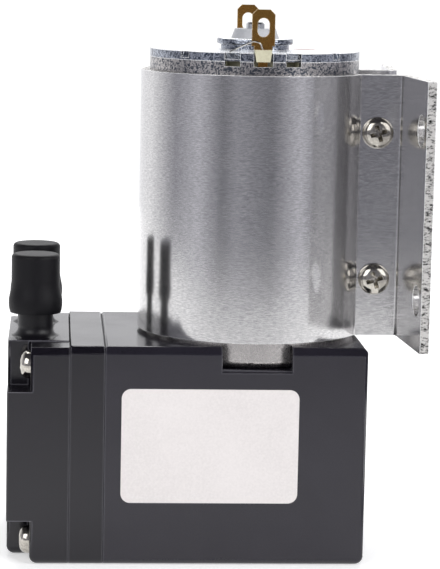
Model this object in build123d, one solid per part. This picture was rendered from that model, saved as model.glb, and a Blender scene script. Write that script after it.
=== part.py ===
"""Diaphragm vacuum pump: a DC motor in a sheet clamp bracket on a moulded pump housing.

Frame: the origin is on the motor axis at the underside of the housing. +Z runs up the motor,
-X runs from the motor to the pump head, and +X to the mounting flanges. Millimetres.
"""
from build123d import *
from math import cos, pi, radians, sin, sqrt, tan
import os

# ---- Housing: crankcase, valve plate and head cover in one row along X ----
HOUSING_DEPTH = 40.0            # along Y
HOUSING_HEIGHT = 37.0           # along Z
CRANKCASE_RIGHT = 18.5          # right face, from the motor axis
CRANKCASE_LENGTH = 43.8
VALVE_PLATE_THICKNESS = 5.8
HEAD_THICKNESS = 10.4
EDGE_BEVEL = 1.2                # top and front edges of every housing block
JOINT_GROOVE = 0.35             # chamfer along the top of the joint beside the crankcase
JOINT_LINE = 0.12               # chamfer along the top of the joint beside the head
FOOT_ROUND = 1.5                # lower end edges, along Y
END_ROUND = 0.5                 # upright end edges
HEAD_TOP_STEP = 0.3             # the head's top lies lower than the housing's
HEAD_PAD_RISE = 0.2             # raised middle of the head's top

# ---- Motor seat in the crankcase's top ----
SEAT_DEPTH = 3.9
SEAT_CLEARANCE = 0.15
SEAT_NOTCH_WIDTH = 11.7         # front and rear
END_NOTCH_WIDTH = 10.0          # right end
SEAT_NOTCH_DEPTH = 4.2

# ---- Crank space and its cover ----
CAVITY_RADIUS = 15.5
CAVITY_TOP_WALL = 4.1           # between crank space and motor seat
COVER_SIZE = 34.0
COVER_THICKNESS = 2.5
COVER_CORNER = 3.0
COVER_SCREW_INSET = 2.8         # from the cover's edges
COVER_SCREW_RADIUS = 1.2
COVER_SCREW_LENGTH = 8.0
COVER_SCREW_HEAD = 2.2          # countersunk head radius
COVER_SCREW_SINK = 0.2          # below the cover's outer face
PART_GAP = 0.1                  # between pieces that are laid in a recess

# ---- Diaphragm, its clamping discs and the connecting rod ----
CRANK_THROW = 1.4
DIAPHRAGM_FREE_RADIUS = 12.0
DIAPHRAGM_RADIUS = 15.0
DIAPHRAGM_THICKNESS = 1.2
BEAD_INNER = 13.4
BEAD_OUTER = 14.6
BEAD_HEIGHT = 0.9
CLAMP_DISC_RADIUS = 8.0
CLAMP_DISC_THICKNESS = 1.2
DIAPHRAGM_SCREW_RADIUS = 1.5
DIAPHRAGM_SCREW_HEAD = 2.6
DIAPHRAGM_SCREW_LENGTH = 8.0
ROD_FLANGE_THICKNESS = 2.0
ROD_WIDTH = 8.0                 # arm, along Y
ROD_THICKNESS = 5.0             # arm and ring, along Z
ROD_RING_WALL = 1.8

# ---- Ball bearing on the crank pin ----
BEARING_BORE = 2.0              # radii
BEARING_OUTER = 6.5
INNER_RING_OUTER = 3.5
OUTER_RING_INNER = 5.0
BALL_RADIUS = 1.0
BALL_COUNT = 7
BALL_PLAY = 0.03

# ---- Eccentric on the motor shaft ----
HUB_RADIUS = 6.0
HUB_CLEARANCE = 0.6             # under the motor screws' heads
PIN_SHOULDER = 3.0
PIN_SHOULDER_HEIGHT = 0.4
COUNTERWEIGHT_RADIUS = 11.0
COUNTERWEIGHT_RISE = 1.4        # above the hub's lower face
SET_SCREW_RADIUS = 1.25
PIN_SCREW_RADIUS = 1.0
PIN_SCREW_HEAD = 2.9
PIN_SCREW_HEAD_HEIGHT = 1.0
PIN_SCREW_LENGTH = 4.0
RUNNING_FIT = 0.03
SHAFT_END_WALL = 0.6            # hub below the shaft's end

# ---- Pump head: chambers, check valves and gasket ----
CHAMBER_DEPTH = 3.1             # working chamber in the valve plate
VALVE_OFFSET = 5.0              # valves each side of the head's middle
VALVE_DISC_RADIUS = 3.2
VALVE_DISC_THICKNESS = 0.7
VALVE_STEM_RADIUS = 0.8
VALVE_BULB_RADIUS = 1.2
VALVE_POCKET_DEPTH = 1.1
VALVE_PORT_RADIUS = 0.7
VALVE_PORT_CIRCLE = 2.0
VALVE_PORT_COUNT = 4
HEAD_CHAMBER_DEPTH = 7.4
HEAD_CHAMBER_WIDTH = 10.0       # along Y, each side of the dividing wall
HEAD_CHAMBER_HEIGHT = 20.0
HEAD_DIVIDER = 2.0
GASKET_BORDER = 2.4
GASKET_THICKNESS = 0.8

# ---- Head screws in open corner pockets ----
POCKET_WIDTH = 6.8              # along Y
POCKET_HEIGHT = 7.4             # along Z
POCKET_DEPTH = 3.9              # along X
HEAD_SCREW_INSET = 3.6          # from the housing's edges
HEAD_SCREW_RADIUS = 1.3
HEAD_SCREW_HEAD = 2.4
HEAD_SCREW_HEAD_HEIGHT = 1.8
HEAD_SCREW_GRIP = 9.0           # length in the crankcase

# ---- Nozzles and their caps ----
NOZZLE_SETBACK = 4.5            # axis, from the head's left face
NOZZLE_SPACING = 15.0
NOZZLE_RADIUS = 3.0
NOZZLE_BORE = 1.5
NOZZLE_HEIGHT = 11.6
NOZZLE_FLARE = 4.0
NOZZLE_FLARE_HEIGHT = 1.8
NOZZLE_SPIGOT_RADIUS = 2.6
NOZZLE_SPIGOT_LENGTH = 4.0
BARB_COUNT = 2
BARB_PITCH = 2.6
BARB_DEPTH = 0.35
CAP_GAP = 4.0                   # from the head's top to the cap's lower edge
CAP_HEIGHT = 10.0
CAP_LOWER_RADIUS = 4.3
CAP_WIDEST_RADIUS = 4.5
CAP_WIDEST_HEIGHT = 2.4
CAP_UPPER_RADIUS = 4.1
CAP_SHOULDER_HEIGHT = 5.2       # where the swollen part ends
CAP_EDGE_ROUND = 0.7
CAP_FIT = 0.05
CAP_TOP_WALL = 1.8

# ---- Motor ----
CAN_RADIUS = 17.9
CAN_WALL = 1.0
CAN_EDGE_ROUND = 1.2
MOTOR_BOSS_RADIUS = 6.5
LOWER_BOSS_HEIGHT = 3.6
END_PLATE_THICKNESS = 1.4
UPPER_BOSS_HEIGHT = 1.9
BOSS_LIP_HEIGHT = 1.0
BOSS_LIP_ROUND = 0.35
BOSS_UNDERCUT = 0.65
DIMPLE_RADIUS = 0.35            # two small stake marks on the end plate
DIMPLE_INSET = 3.6              # from the can's outer face
DIMPLE_ANGLE = 36.0
DIMPLE_DEPTH = 0.5
BUSH_RADIUS = 4.0
BUSH_LENGTH = 4.6
SHAFT_RADIUS = 1.5875
SHAFT_ABOVE_BOSS = 2.7
COLLAR_LOWER_RADIUS = 4.1
COLLAR_UPPER_RADIUS = 3.5
COLLAR_HEIGHT = 1.6
RIM_NOTCH_WIDTH = 2.65
RIM_NOTCH_DEPTH = 1.6
RIM_NOTCH_ANGLE = 16.5          # each side of a terminal
SMALL_NOTCH_ANGLE = 45.0
SMALL_NOTCH_WIDTH = 1.7
RIM_WINDOW_HEIGHT = 0.8         # below the can's rim
STAKE_START = 0.35              # where a stake's slope begins, above the can's rim
STAKE_EDGE = 0.25               # and how far in from the rim's outside
HOLDER_NOTCH = 3.2              # depth of the holder's notches behind the windows
MOTOR_SCREW_CIRCLE = 12.5
MOTOR_SCREW_RADIUS = 1.5
MOTOR_SCREW_HEAD = 2.75
MOTOR_SCREW_HEAD_HEIGHT = 1.6
MOTOR_SCREW_GRIP = 1.0          # into the can's end wall

MAGNET_THICKNESS = 3.1
MAGNET_ARC = 130.0
MAGNET_OVERHANG = 5.0           # beyond each end of the core
AIR_GAP = 0.7                   # between magnets and core
CORE_LENGTH = 28.0
CORE_START = 10.0               # above the can's closed end
POLE_COUNT = 5
POLE_NECK = 4.2
POLE_TIP_THICKNESS = 1.8
CORE_HUB_RADIUS = 4.5
SLOT_OPENING = 2.2
COIL_THICKNESS = 1.9
COIL_HUB_GAP = 2.2
COIL_SECTOR_GAP = 2.0           # degrees
COIL_OVERHANG = 2.4
COMMUTATOR_RADIUS = 4.6
COMMUTATOR_LENGTH = 6.5
COMMUTATOR_GAP = 4.5            # above the core
COMMUTATOR_SLOT = 0.5
END_SPACE = 2.1                 # from the commutator to the can's rim
BRUSH_WIDTH = 4.0
BRUSH_HEIGHT = 3.4
BRUSH_LENGTH = 6.0
BRUSH_GAP = 0.08
HOLDER_THICKNESS = 2.6
HOLDER_HOLE = 7.4

# ---- Terminals ----
TERMINAL_INSET = 1.4            # from the can's outer face
TERMINAL_WIDTH = 3.8
TERMINAL_NECK = 3.0
TERMINAL_THICKNESS = 0.5
TERMINAL_TOP = 7.2              # above the end plate's upper face
TERMINAL_SHOULDER = 1.2
TERMINAL_FOOT_WIDTH = 1.6
TERMINAL_FOOT = 3.4             # below the end plate's upper face
TERMINAL_CHAMFER = 0.8
TERMINAL_HOLE_WIDTH = 2.0
TERMINAL_HOLE_HEIGHT = 3.1
TERMINAL_HOLE_TOP = 1.4
INSULATOR_WIDTH = 2.3           # at its foot
INSULATOR_TOP_WIDTH = 2.95
INSULATOR_HEIGHT = 0.6          # above the end plate
INSULATOR_BACK = 1.25           # each side of the terminal's blade
LEAD_RADIUS = 0.14

# ---- Clamp bracket, bent from one sheet ----
SHEET = 1.5
WRAP_GAP = 0.6                  # above the housing
WRAP_HEIGHT = 44.4
EAR_OUTER = 8.8                 # outer face of each ear, from the middle
EAR_LENGTH = 5.0                # from the wrap's outside to the corner of the flange
EAR_BLEND = 0.4
FLANGE_LENGTH = 19.2
FLANGE_SPLAY = 3.9              # degrees
BEND_RADIUS = 0.4
FLANGE_HOLE_RADIUS = 2.6
FLANGE_HOLE_SPACING_Y = 48.4
FLANGE_HOLE_SPACING_Z = 28.0
CLAMP_SCREW_SETBACK = 0.97      # from the wrap's outside
CLAMP_SCREW_SPACING = 24.9
CLAMP_SCREW_RADIUS = 1.5
CLAMP_SCREW_HEAD = 2.7
CLAMP_SCREW_HEAD_HEIGHT = 1.9
CLAMP_HOLE_CLEARANCE = 0.1
NUT_ACROSS_FLATS = 5.5
NUT_HEIGHT = 2.4
THREAD_RUNOUT = 1.6             # screw end beyond its nut
THREAD_FIT = 0.02

# ---- Label on the crankcase's front ----
LABEL_LEFT = -22.5
LABEL_WIDTH = 29.6
LABEL_BOTTOM = 10.7
LABEL_HEIGHT = 19.3
LABEL_CORNER = 1.6
LABEL_THICKNESS = 0.1

# ---- Places worked out from the values above ----
CRANKCASE_LEFT = CRANKCASE_RIGHT - CRANKCASE_LENGTH
VALVE_PLATE_LEFT = CRANKCASE_LEFT - VALVE_PLATE_THICKNESS
HEAD_LEFT = VALVE_PLATE_LEFT - HEAD_THICKNESS
HALF_DEPTH = HOUSING_DEPTH / 2
DRIVE_HEIGHT = HOUSING_HEIGHT / 2                  # height of the diaphragm's axis
CORE_RADIUS = CAN_RADIUS - CAN_WALL - MAGNET_THICKNESS - AIR_GAP
TERMINAL_OFFSET = CAN_RADIUS - TERMINAL_INSET
DIMPLE_CIRCLE = CAN_RADIUS - DIMPLE_INSET
INSULATOR_DEPTH = CAN_RADIUS - TERMINAL_OFFSET + INSULATOR_BACK + PART_GAP
HEAD_TOP = HOUSING_HEIGHT - HEAD_TOP_STEP
PAD_TOP = HEAD_TOP + HEAD_PAD_RISE
CAN_LENGTH = CORE_START + CORE_LENGTH + COMMUTATOR_GAP + COMMUTATOR_LENGTH + END_SPACE
NOZZLE_X = HEAD_LEFT + NOZZLE_SETBACK
CAN_BOTTOM = HOUSING_HEIGHT - SEAT_DEPTH
CAN_RIM = CAN_BOTTOM + CAN_LENGTH
END_PLATE_TOP = CAN_RIM + END_PLATE_THICKNESS
UPPER_BOSS_TOP = END_PLATE_TOP + UPPER_BOSS_HEIGHT
SHAFT_TOP = UPPER_BOSS_TOP + SHAFT_ABOVE_BOSS
CAVITY_TOP = CAN_BOTTOM - CAVITY_TOP_WALL
DIAPHRAGM_REST = CRANKCASE_LEFT + CRANK_THROW      # outer face of the diaphragm's middle
ROD_FLANGE_LEFT = DIAPHRAGM_REST + DIAPHRAGM_THICKNESS
BEARING_LOW = DRIVE_HEIGHT - ROD_THICKNESS / 2
BEARING_HIGH = DRIVE_HEIGHT + ROD_THICKNESS / 2
HUB_LOW = BEARING_HIGH + PIN_SHOULDER_HEIGHT
HUB_HIGH = CAVITY_TOP - MOTOR_SCREW_HEAD_HEIGHT - HUB_CLEARANCE
SET_SCREW_LEVEL = (HUB_LOW + HUB_HIGH) / 2
BALL_CIRCLE = (INNER_RING_OUTER + OUTER_RING_INNER) / 2
CORE_LOW = CAN_BOTTOM + CORE_START
CORE_HIGH = CORE_LOW + CORE_LENGTH
COMMUTATOR_LOW = CORE_HIGH + COMMUTATOR_GAP
COMMUTATOR_HIGH = COMMUTATOR_LOW + COMMUTATOR_LENGTH
BRUSH_MIDDLE = (COMMUTATOR_LOW + COMMUTATOR_HIGH) / 2
HOLDER_LOW = CAN_RIM - HOLDER_THICKNESS
EAR_INNER = EAR_OUTER - SHEET
WRAP_INNER = CAN_RADIUS + RUNNING_FIT
WRAP_OUTER = WRAP_INNER + SHEET
EAR_END = WRAP_OUTER + EAR_LENGTH
CLAMP_SCREW_X = WRAP_OUTER + CLAMP_SCREW_SETBACK
WRAP_START = HOUSING_HEIGHT + WRAP_GAP
WRAP_MIDDLE = WRAP_START + WRAP_HEIGHT / 2
CAP_LOW = PAD_TOP + CAP_GAP
CLAMP_HEIGHTS = [WRAP_MIDDLE - CLAMP_SCREW_SPACING / 2, WRAP_MIDDLE + CLAMP_SCREW_SPACING / 2]
HEAD_SCREW_PLACES = [
    (side * (HALF_DEPTH - HEAD_SCREW_INSET), height)
    for side in (-1, 1)
    for height in (HEAD_SCREW_INSET, HOUSING_HEIGHT - HEAD_SCREW_INSET)
]


# ---- Basic solids, placed by their faces ----
def block(x0, x1, y0, y1, z0, z1):
    """A box between two corners."""
    size = Box(x1 - x0, y1 - y0, z1 - z0)
    return Pos((x0 + x1) / 2, (y0 + y1) / 2, (z0 + z1) / 2) * size


def post(radius, z0, z1, x=0.0, y=0.0):
    """A cylinder along Z."""
    return Pos(x, y, (z0 + z1) / 2) * Cylinder(radius, z1 - z0)


def bar_x(radius, x0, x1, y=0.0, z=0.0):
    """A cylinder along X."""
    return Pos((x0 + x1) / 2, y, z) * Rot(0, 90, 0) * Cylinder(radius, x1 - x0)


def bar_y(radius, y0, y1, x=0.0, z=0.0):
    """A cylinder along Y."""
    return Pos(x, (y0 + y1) / 2, z) * Rot(90, 0, 0) * Cylinder(radius, y1 - y0)


def turned(points, x=0.0, y=0.0):
    """A profile of (radius, z) points turned about a vertical axis."""
    profile = make_face(Polyline([(r, 0, z) for r, z in points], close=True))
    return Pos(x, y, 0) * revolve(profile, Axis.Z)


def turned_x(points, y=0.0, z=0.0):
    """A profile of (x, radius) points turned about an axis along X."""
    profile = make_face(Polyline([(x, 0, r) for x, r in points], close=True))
    return Pos(0, y, z) * revolve(profile, Axis.X)


def group(solids):
    """Several separate solids in one node."""
    return Compound(children=[solid for piece in solids for solid in piece.solids()])


# ---- Housing ----
def top_bevels(body):
    """Bevels a block's top edges at the front and rear."""
    return chamfer(body.edges().filter_by(Axis.X).group_by(Axis.Z)[-1], EDGE_BEVEL)


def top_edge(body, x):
    """The top edges along Y at one place along X."""
    edges = body.edges().filter_by(Axis.Y).group_by(Axis.Z)[-1]
    return edges.filter_by(lambda edge: abs(edge.center().X - x) < 0.01)


def head_screw_holes(x0, x1, radius):
    """The four holes that the head screws pass through."""
    return [bar_x(radius, x0, x1, y, z) for y, z in HEAD_SCREW_PLACES]


def crankcase():
    """The block that carries the motor and houses the crank."""
    body = block(CRANKCASE_LEFT, CRANKCASE_RIGHT, -HALF_DEPTH, HALF_DEPTH, 0, HOUSING_HEIGHT)
    body = top_bevels(body)
    body = chamfer(top_edge(body, CRANKCASE_RIGHT), EDGE_BEVEL / 2)
    body = chamfer(top_edge(body, CRANKCASE_LEFT), JOINT_GROOVE)
    body = fillet(body.edges().filter_by(Axis.Z).group_by(Axis.X)[-1], END_ROUND)
    right_edges = body.edges().filter_by(Axis.Y).group_by(Axis.X)[-1].sort_by(Axis.Z)
    body = fillet(right_edges[0], FOOT_ROUND)
    body -= post(CAN_RADIUS + SEAT_CLEARANCE, CAN_BOTTOM, HOUSING_HEIGHT + 1)
    half_notch = SEAT_NOTCH_WIDTH / 2
    notch_low = HOUSING_HEIGHT - SEAT_NOTCH_DEPTH
    body -= block(-half_notch, half_notch, -HALF_DEPTH - 1, HALF_DEPTH + 1,
                  CAN_BOTTOM, HOUSING_HEIGHT + 1)
    for side in (-1, 1):
        body -= block(-half_notch, half_notch, side * HALF_DEPTH - 1, side * HALF_DEPTH + 1,
                      notch_low, HOUSING_HEIGHT + 1)
    half_end = END_NOTCH_WIDTH / 2
    body -= block(0, CRANKCASE_RIGHT + 1, -half_end, half_end, CAN_BOTTOM, HOUSING_HEIGHT + 1)
    body -= post(MOTOR_BOSS_RADIUS + SEAT_CLEARANCE, CAVITY_TOP - 1, CAN_BOTTOM + 1)
    body -= post(CAVITY_RADIUS, -1, CAVITY_TOP)
    bore_reach = -sqrt(CAVITY_RADIUS ** 2 - DIAPHRAGM_FREE_RADIUS ** 2) + 1
    body -= bar_x(DIAPHRAGM_FREE_RADIUS, CRANKCASE_LEFT - 1, bore_reach, 0, DRIVE_HEIGHT)
    seat_end = CRANKCASE_LEFT + DIAPHRAGM_THICKNESS
    body -= bar_x(DIAPHRAGM_RADIUS + PART_GAP, CRANKCASE_LEFT - 1, seat_end, 0, DRIVE_HEIGHT)
    bead = bar_x(BEAD_OUTER + PART_GAP / 2, seat_end - 0.5, seat_end + BEAD_HEIGHT, 0, DRIVE_HEIGHT)
    bead -= bar_x(BEAD_INNER - PART_GAP / 2, seat_end - 1, seat_end + BEAD_HEIGHT + 1, 0, DRIVE_HEIGHT)
    body -= bead
    body -= cover_outline(COVER_SIZE / 2 + PART_GAP, -1, COVER_THICKNESS)
    for x, y in cover_screw_places():
        body -= post(COVER_SCREW_RADIUS + THREAD_FIT, 0, COVER_SCREW_LENGTH + 0.5, x, y)
    for side in (-1, 1):
        body -= post(MOTOR_SCREW_RADIUS + PART_GAP, CAVITY_TOP - 1, CAN_BOTTOM + 1,
                     0, side * MOTOR_SCREW_CIRCLE)
    for hole in head_screw_holes(CRANKCASE_LEFT - 1, CRANKCASE_LEFT + HEAD_SCREW_GRIP + 0.5,
                                 HEAD_SCREW_RADIUS + THREAD_FIT):
        body -= hole
    return body


def cover_outline(half, z0, z1):
    """The bottom cover's rounded square, centred on the motor axis."""
    face = RectangleRounded(2 * half, 2 * half, COVER_CORNER)
    return Pos(0, 0, z0) * extrude(face, z1 - z0)


def cover_screw_places():
    half = COVER_SIZE / 2 - COVER_SCREW_INSET
    return [(x, y) for x in (-half, half) for y in (-half, half)]


def bottom_cover():
    """The plate that closes the crank space from below."""
    plate = cover_outline(COVER_SIZE / 2, 0, COVER_THICKNESS)
    for x, y in cover_screw_places():
        plate -= turned(countersunk_profile(PART_GAP, -1), x, y)
    return plate


def countersunk_profile(gap, mouth):
    """Half section of a cover screw, larger all round by the gap and open down to the mouth."""
    head = COVER_SCREW_HEAD + gap
    shank = COVER_SCREW_RADIUS + gap
    low = COVER_SCREW_SINK
    return [(0, mouth), (head, mouth), (head, low + 0.1), (shank, low + 0.1 + head - shank),
            (shank, COVER_SCREW_LENGTH), (0, COVER_SCREW_LENGTH)]


def bottom_cover_screws():
    screw = turned(countersunk_profile(0, COVER_SCREW_SINK))
    return group([Pos(x, y, 0) * screw for x, y in cover_screw_places()])


# ---- Pump head ----
def valve_plate():
    """The middle block: working chamber on the crank side, valve seats on the head side."""
    body = block(VALVE_PLATE_LEFT, CRANKCASE_LEFT, -HALF_DEPTH, HALF_DEPTH, 0, HOUSING_HEIGHT)
    body = top_bevels(body)
    body = chamfer(top_edge(body, CRANKCASE_LEFT), JOINT_GROOVE)
    body = chamfer(top_edge(body, VALVE_PLATE_LEFT), JOINT_LINE)
    chamber_floor = CRANKCASE_LEFT - CHAMBER_DEPTH
    rim = DIAPHRAGM_FREE_RADIUS
    body -= turned_x([(CRANKCASE_LEFT + 1, 0), (CRANKCASE_LEFT + 1, rim), (CRANKCASE_LEFT, rim),
                      (chamber_floor, CLAMP_DISC_RADIUS + 1), (chamber_floor, 0)], 0, DRIVE_HEIGHT)
    for side, pocket in ((-1, VALVE_DISC_RADIUS + 0.4), (1, VALVE_BULB_RADIUS + 0.4)):
        y = side * VALVE_OFFSET
        body -= bar_x(pocket, chamber_floor - VALVE_POCKET_DEPTH, chamber_floor + 0.5, y, DRIVE_HEIGHT)
        body -= bar_x(VALVE_STEM_RADIUS + PART_GAP, VALVE_PLATE_LEFT - 1, chamber_floor, y, DRIVE_HEIGHT)
        for i in range(VALVE_PORT_COUNT):
            turn = 2 * pi * i / VALVE_PORT_COUNT
            body -= bar_x(VALVE_PORT_RADIUS, VALVE_PLATE_LEFT - 1, chamber_floor + 0.5,
                          y + VALVE_PORT_CIRCLE * cos(turn), DRIVE_HEIGHT + VALVE_PORT_CIRCLE * sin(turn))
    for hole in head_screw_holes(VALVE_PLATE_LEFT - 1, CRANKCASE_LEFT + 1, HEAD_SCREW_RADIUS + PART_GAP):
        body -= hole
    return body


def umbrella_valve(seat_x, side, y):
    """A rubber umbrella valve: its disc lies on seat_x and opens towards side."""
    web = VALVE_PLATE_THICKNESS - CHAMBER_DEPTH - VALVE_POCKET_DEPTH
    back = seat_x - side * web
    tip = back - side * (VALVE_POCKET_DEPTH - 0.1)
    top = seat_x + side * VALVE_DISC_THICKNESS
    points = [(top, 0), (top, VALVE_DISC_RADIUS * 0.6), (seat_x + side * 0.3, VALVE_DISC_RADIUS),
              (seat_x, VALVE_DISC_RADIUS), (seat_x, VALVE_STEM_RADIUS), (back, VALVE_STEM_RADIUS),
              (back, VALVE_BULB_RADIUS), (tip, VALVE_STEM_RADIUS), (tip, 0)]
    return turned_x(points, y, DRIVE_HEIGHT)


def inlet_valve():
    """Opens into the working chamber."""
    seat = CRANKCASE_LEFT - CHAMBER_DEPTH - VALVE_POCKET_DEPTH
    return umbrella_valve(seat, 1, -VALVE_OFFSET)


def outlet_valve():
    """Opens into the head's outlet chamber; its bulb sits in a pocket of the working chamber."""
    return umbrella_valve(VALVE_PLATE_LEFT, -1, VALVE_OFFSET)


def head_chambers(x0, x1, border=0.0):
    """The inlet and outlet chambers, larger all round by the border."""
    half_divider = HEAD_DIVIDER / 2
    low = DRIVE_HEIGHT - HEAD_CHAMBER_HEIGHT / 2 - border
    high = DRIVE_HEIGHT + HEAD_CHAMBER_HEIGHT / 2 + border
    if border:
        reach = half_divider + HEAD_CHAMBER_WIDTH + border
        return block(x0, x1, -reach, reach, low, high)
    return [
        block(x0, x1, min(side * half_divider, side * (half_divider + HEAD_CHAMBER_WIDTH)),
              max(side * half_divider, side * (half_divider + HEAD_CHAMBER_WIDTH)), low, high)
        for side in (-1, 1)
    ]


def head_gasket():
    """The flat gasket that seals both chambers against the valve plate."""
    x0 = VALVE_PLATE_LEFT - GASKET_THICKNESS
    plate = head_chambers(x0, VALVE_PLATE_LEFT, GASKET_BORDER)
    for window in head_chambers(x0 - 1, VALVE_PLATE_LEFT + 1):
        plate -= window
    return plate


def head_cover():
    """The end block with the chambers, the nozzle sockets and four open corner pockets."""
    body = block(HEAD_LEFT, VALVE_PLATE_LEFT, -HALF_DEPTH, HALF_DEPTH, 0, HEAD_TOP)
    body = top_bevels(body)
    body = chamfer(top_edge(body, VALVE_PLATE_LEFT), JOINT_LINE)
    pad_half = HALF_DEPTH - POCKET_WIDTH
    body += block(HEAD_LEFT, VALVE_PLATE_LEFT - JOINT_LINE, -pad_half, pad_half, DRIVE_HEIGHT, PAD_TOP)
    pocket_x = HEAD_LEFT + POCKET_DEPTH
    for side in (-1, 1):
        edge = side * (HALF_DEPTH + 1)
        wall = side * (HALF_DEPTH - POCKET_WIDTH)
        y0, y1 = min(edge, wall), max(edge, wall)
        body -= block(HEAD_LEFT - 1, pocket_x, y0, y1, HEAD_TOP - POCKET_HEIGHT, HOUSING_HEIGHT + 1)
        body -= block(HEAD_LEFT - 1, pocket_x, y0, y1, -1, POCKET_HEIGHT)
    uprights = body.edges().filter_by(Axis.Z)
    body = fillet(uprights.filter_by(lambda edge: edge.center().X < pocket_x + 0.1), END_ROUND)
    foot = body.edges().filter_by(Axis.Y).group_by(Axis.Z)[0]
    foot = foot.filter_by(lambda edge: HEAD_LEFT + 0.1 < edge.center().X < VALVE_PLATE_LEFT - 0.1)
    body = fillet(foot, FOOT_ROUND)
    body -= head_chambers(VALVE_PLATE_LEFT - GASKET_THICKNESS, VALVE_PLATE_LEFT + 1,
                          GASKET_BORDER + PART_GAP)
    for chamber in head_chambers(VALVE_PLATE_LEFT - HEAD_CHAMBER_DEPTH, VALVE_PLATE_LEFT + 1):
        body -= chamber
    for side in (-1, 1):
        y = side * NOZZLE_SPACING / 2
        body -= post(NOZZLE_BORE, DRIVE_HEIGHT, HOUSING_HEIGHT + 1, NOZZLE_X, y)
        body -= post(NOZZLE_SPIGOT_RADIUS + THREAD_FIT, PAD_TOP - NOZZLE_SPIGOT_LENGTH,
                     HOUSING_HEIGHT + 1, NOZZLE_X, y)
    for hole in head_screw_holes(HEAD_LEFT - 1, VALVE_PLATE_LEFT + 1, HEAD_SCREW_RADIUS + PART_GAP):
        body -= hole
    return body


def pan_head_along_x(x_seat, y, z, radius, head_radius, head_height, length):
    """A pan head screw that points along +X."""
    x_top = x_seat - head_height
    dome = head_height * 0.45
    return turned_x([(x_top, 0), (x_top, head_radius * 0.55), (x_top + dome, head_radius * 0.93),
                     (x_top + dome * 1.6, head_radius), (x_seat, head_radius), (x_seat, radius),
                     (x_seat + length, radius), (x_seat + length, 0)], y, z)


def head_screws():
    seat = HEAD_LEFT + POCKET_DEPTH
    length = VALVE_PLATE_LEFT - seat + VALVE_PLATE_THICKNESS + HEAD_SCREW_GRIP
    return group([
        pan_head_along_x(seat, y, z, HEAD_SCREW_RADIUS, HEAD_SCREW_HEAD, HEAD_SCREW_HEAD_HEIGHT, length)
        for y, z in HEAD_SCREW_PLACES
    ])


def nozzle(side):
    """A hose nozzle with a flared foot, shallow barbs and a spigot in the head."""
    top = PAD_TOP + NOZZLE_HEIGHT
    flare_top = PAD_TOP + NOZZLE_FLARE_HEIGHT
    barb_start = top - 0.8 - BARB_COUNT * BARB_PITCH
    spigot_end = PAD_TOP - NOZZLE_SPIGOT_LENGTH
    lower = [(NOZZLE_BORE, spigot_end), (NOZZLE_SPIGOT_RADIUS, spigot_end),
             (NOZZLE_SPIGOT_RADIUS, PAD_TOP), (NOZZLE_FLARE, PAD_TOP)]
    upper = [(NOZZLE_RADIUS, flare_top), (NOZZLE_RADIUS, barb_start)]
    for i in range(BARB_COUNT):
        low = barb_start + i * BARB_PITCH
        upper += [(NOZZLE_RADIUS - BARB_DEPTH, low + 0.05), (NOZZLE_RADIUS, low + BARB_PITCH * 0.45),
                  (NOZZLE_RADIUS, low + BARB_PITCH)]
    upper += [(NOZZLE_RADIUS - 0.6, top), (NOZZLE_BORE, top), (NOZZLE_BORE, spigot_end)]
    # The flare is hollow-sided: steep at the stem and flat at the foot.
    hollow = (NOZZLE_RADIUS + (NOZZLE_FLARE - NOZZLE_RADIUS) * 0.25,
              PAD_TOP + NOZZLE_FLARE_HEIGHT * 0.3)
    outline = straight_edges(lower) + straight_edges(upper)
    outline.append(ThreePointArc((*lower[-1], 0), (*hollow, 0), (*upper[0], 0)))
    profile = Rot(90, 0, 0) * make_face(outline)
    return Pos(NOZZLE_X, side * NOZZLE_SPACING / 2, 0) * revolve(profile, Axis.Z)


def straight_edges(points):
    """Lines through (radius, z) points, drawn flat for a profile."""
    return [Line((*points[i], 0), (*points[i + 1], 0)) for i in range(len(points) - 1)]


def nozzle_cap(side):
    """A rubber cap pushed over a nozzle: straight above, swollen below over the barbs."""
    top = CAP_LOW + CAP_HEIGHT
    inner = NOZZLE_RADIUS + CAP_FIT
    shoulder = (CAP_UPPER_RADIUS, CAP_LOW + CAP_SHOULDER_HEIGHT)
    round_start = (CAP_UPPER_RADIUS, top - CAP_EDGE_ROUND)
    round_end = (CAP_UPPER_RADIUS - CAP_EDGE_ROUND, top)
    swell = Spline((CAP_LOWER_RADIUS, CAP_LOW, 0), (CAP_WIDEST_RADIUS, CAP_LOW + CAP_WIDEST_HEIGHT, 0),
                   (*shoulder, 0), tangents=((0.35, 1, 0), (0, 1, 0)))
    outline = [swell, Line((*shoulder, 0), (*round_start, 0)),
               RadiusArc((*round_start, 0), (*round_end, 0), -CAP_EDGE_ROUND)]
    outline += straight_edges([round_end, (0, top), (0, top - CAP_TOP_WALL), (inner, top - CAP_TOP_WALL),
                               (inner, CAP_LOW), (CAP_LOWER_RADIUS, CAP_LOW)])
    profile = Rot(90, 0, 0) * make_face(outline)
    return Pos(NOZZLE_X, side * NOZZLE_SPACING / 2, 0) * revolve(profile, Axis.Z)


# ---- Diaphragm and connecting rod ----
def diaphragm():
    """A rubber disc, clamped at its rim and drawn inward at its middle in the rest position."""
    left, thick = CRANKCASE_LEFT, DIAPHRAGM_THICKNESS
    hole = DIAPHRAGM_SCREW_RADIUS + PART_GAP
    flex_in, flex_out = CLAMP_DISC_RADIUS + 0.6, DIAPHRAGM_FREE_RADIUS - 0.8
    middle = DIAPHRAGM_REST
    points = [(middle, hole), (middle, flex_in), (left, flex_out), (left, DIAPHRAGM_RADIUS),
              (left + thick, DIAPHRAGM_RADIUS), (left + thick, BEAD_OUTER),
              (left + thick + BEAD_HEIGHT - 0.05, BEAD_OUTER - 0.1),
              (left + thick + BEAD_HEIGHT - 0.05, BEAD_INNER + 0.1), (left + thick, BEAD_INNER),
              (left + thick, flex_out), (middle + thick, flex_in), (middle + thick, hole)]
    return turned_x(points, 0, DRIVE_HEIGHT)


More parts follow.
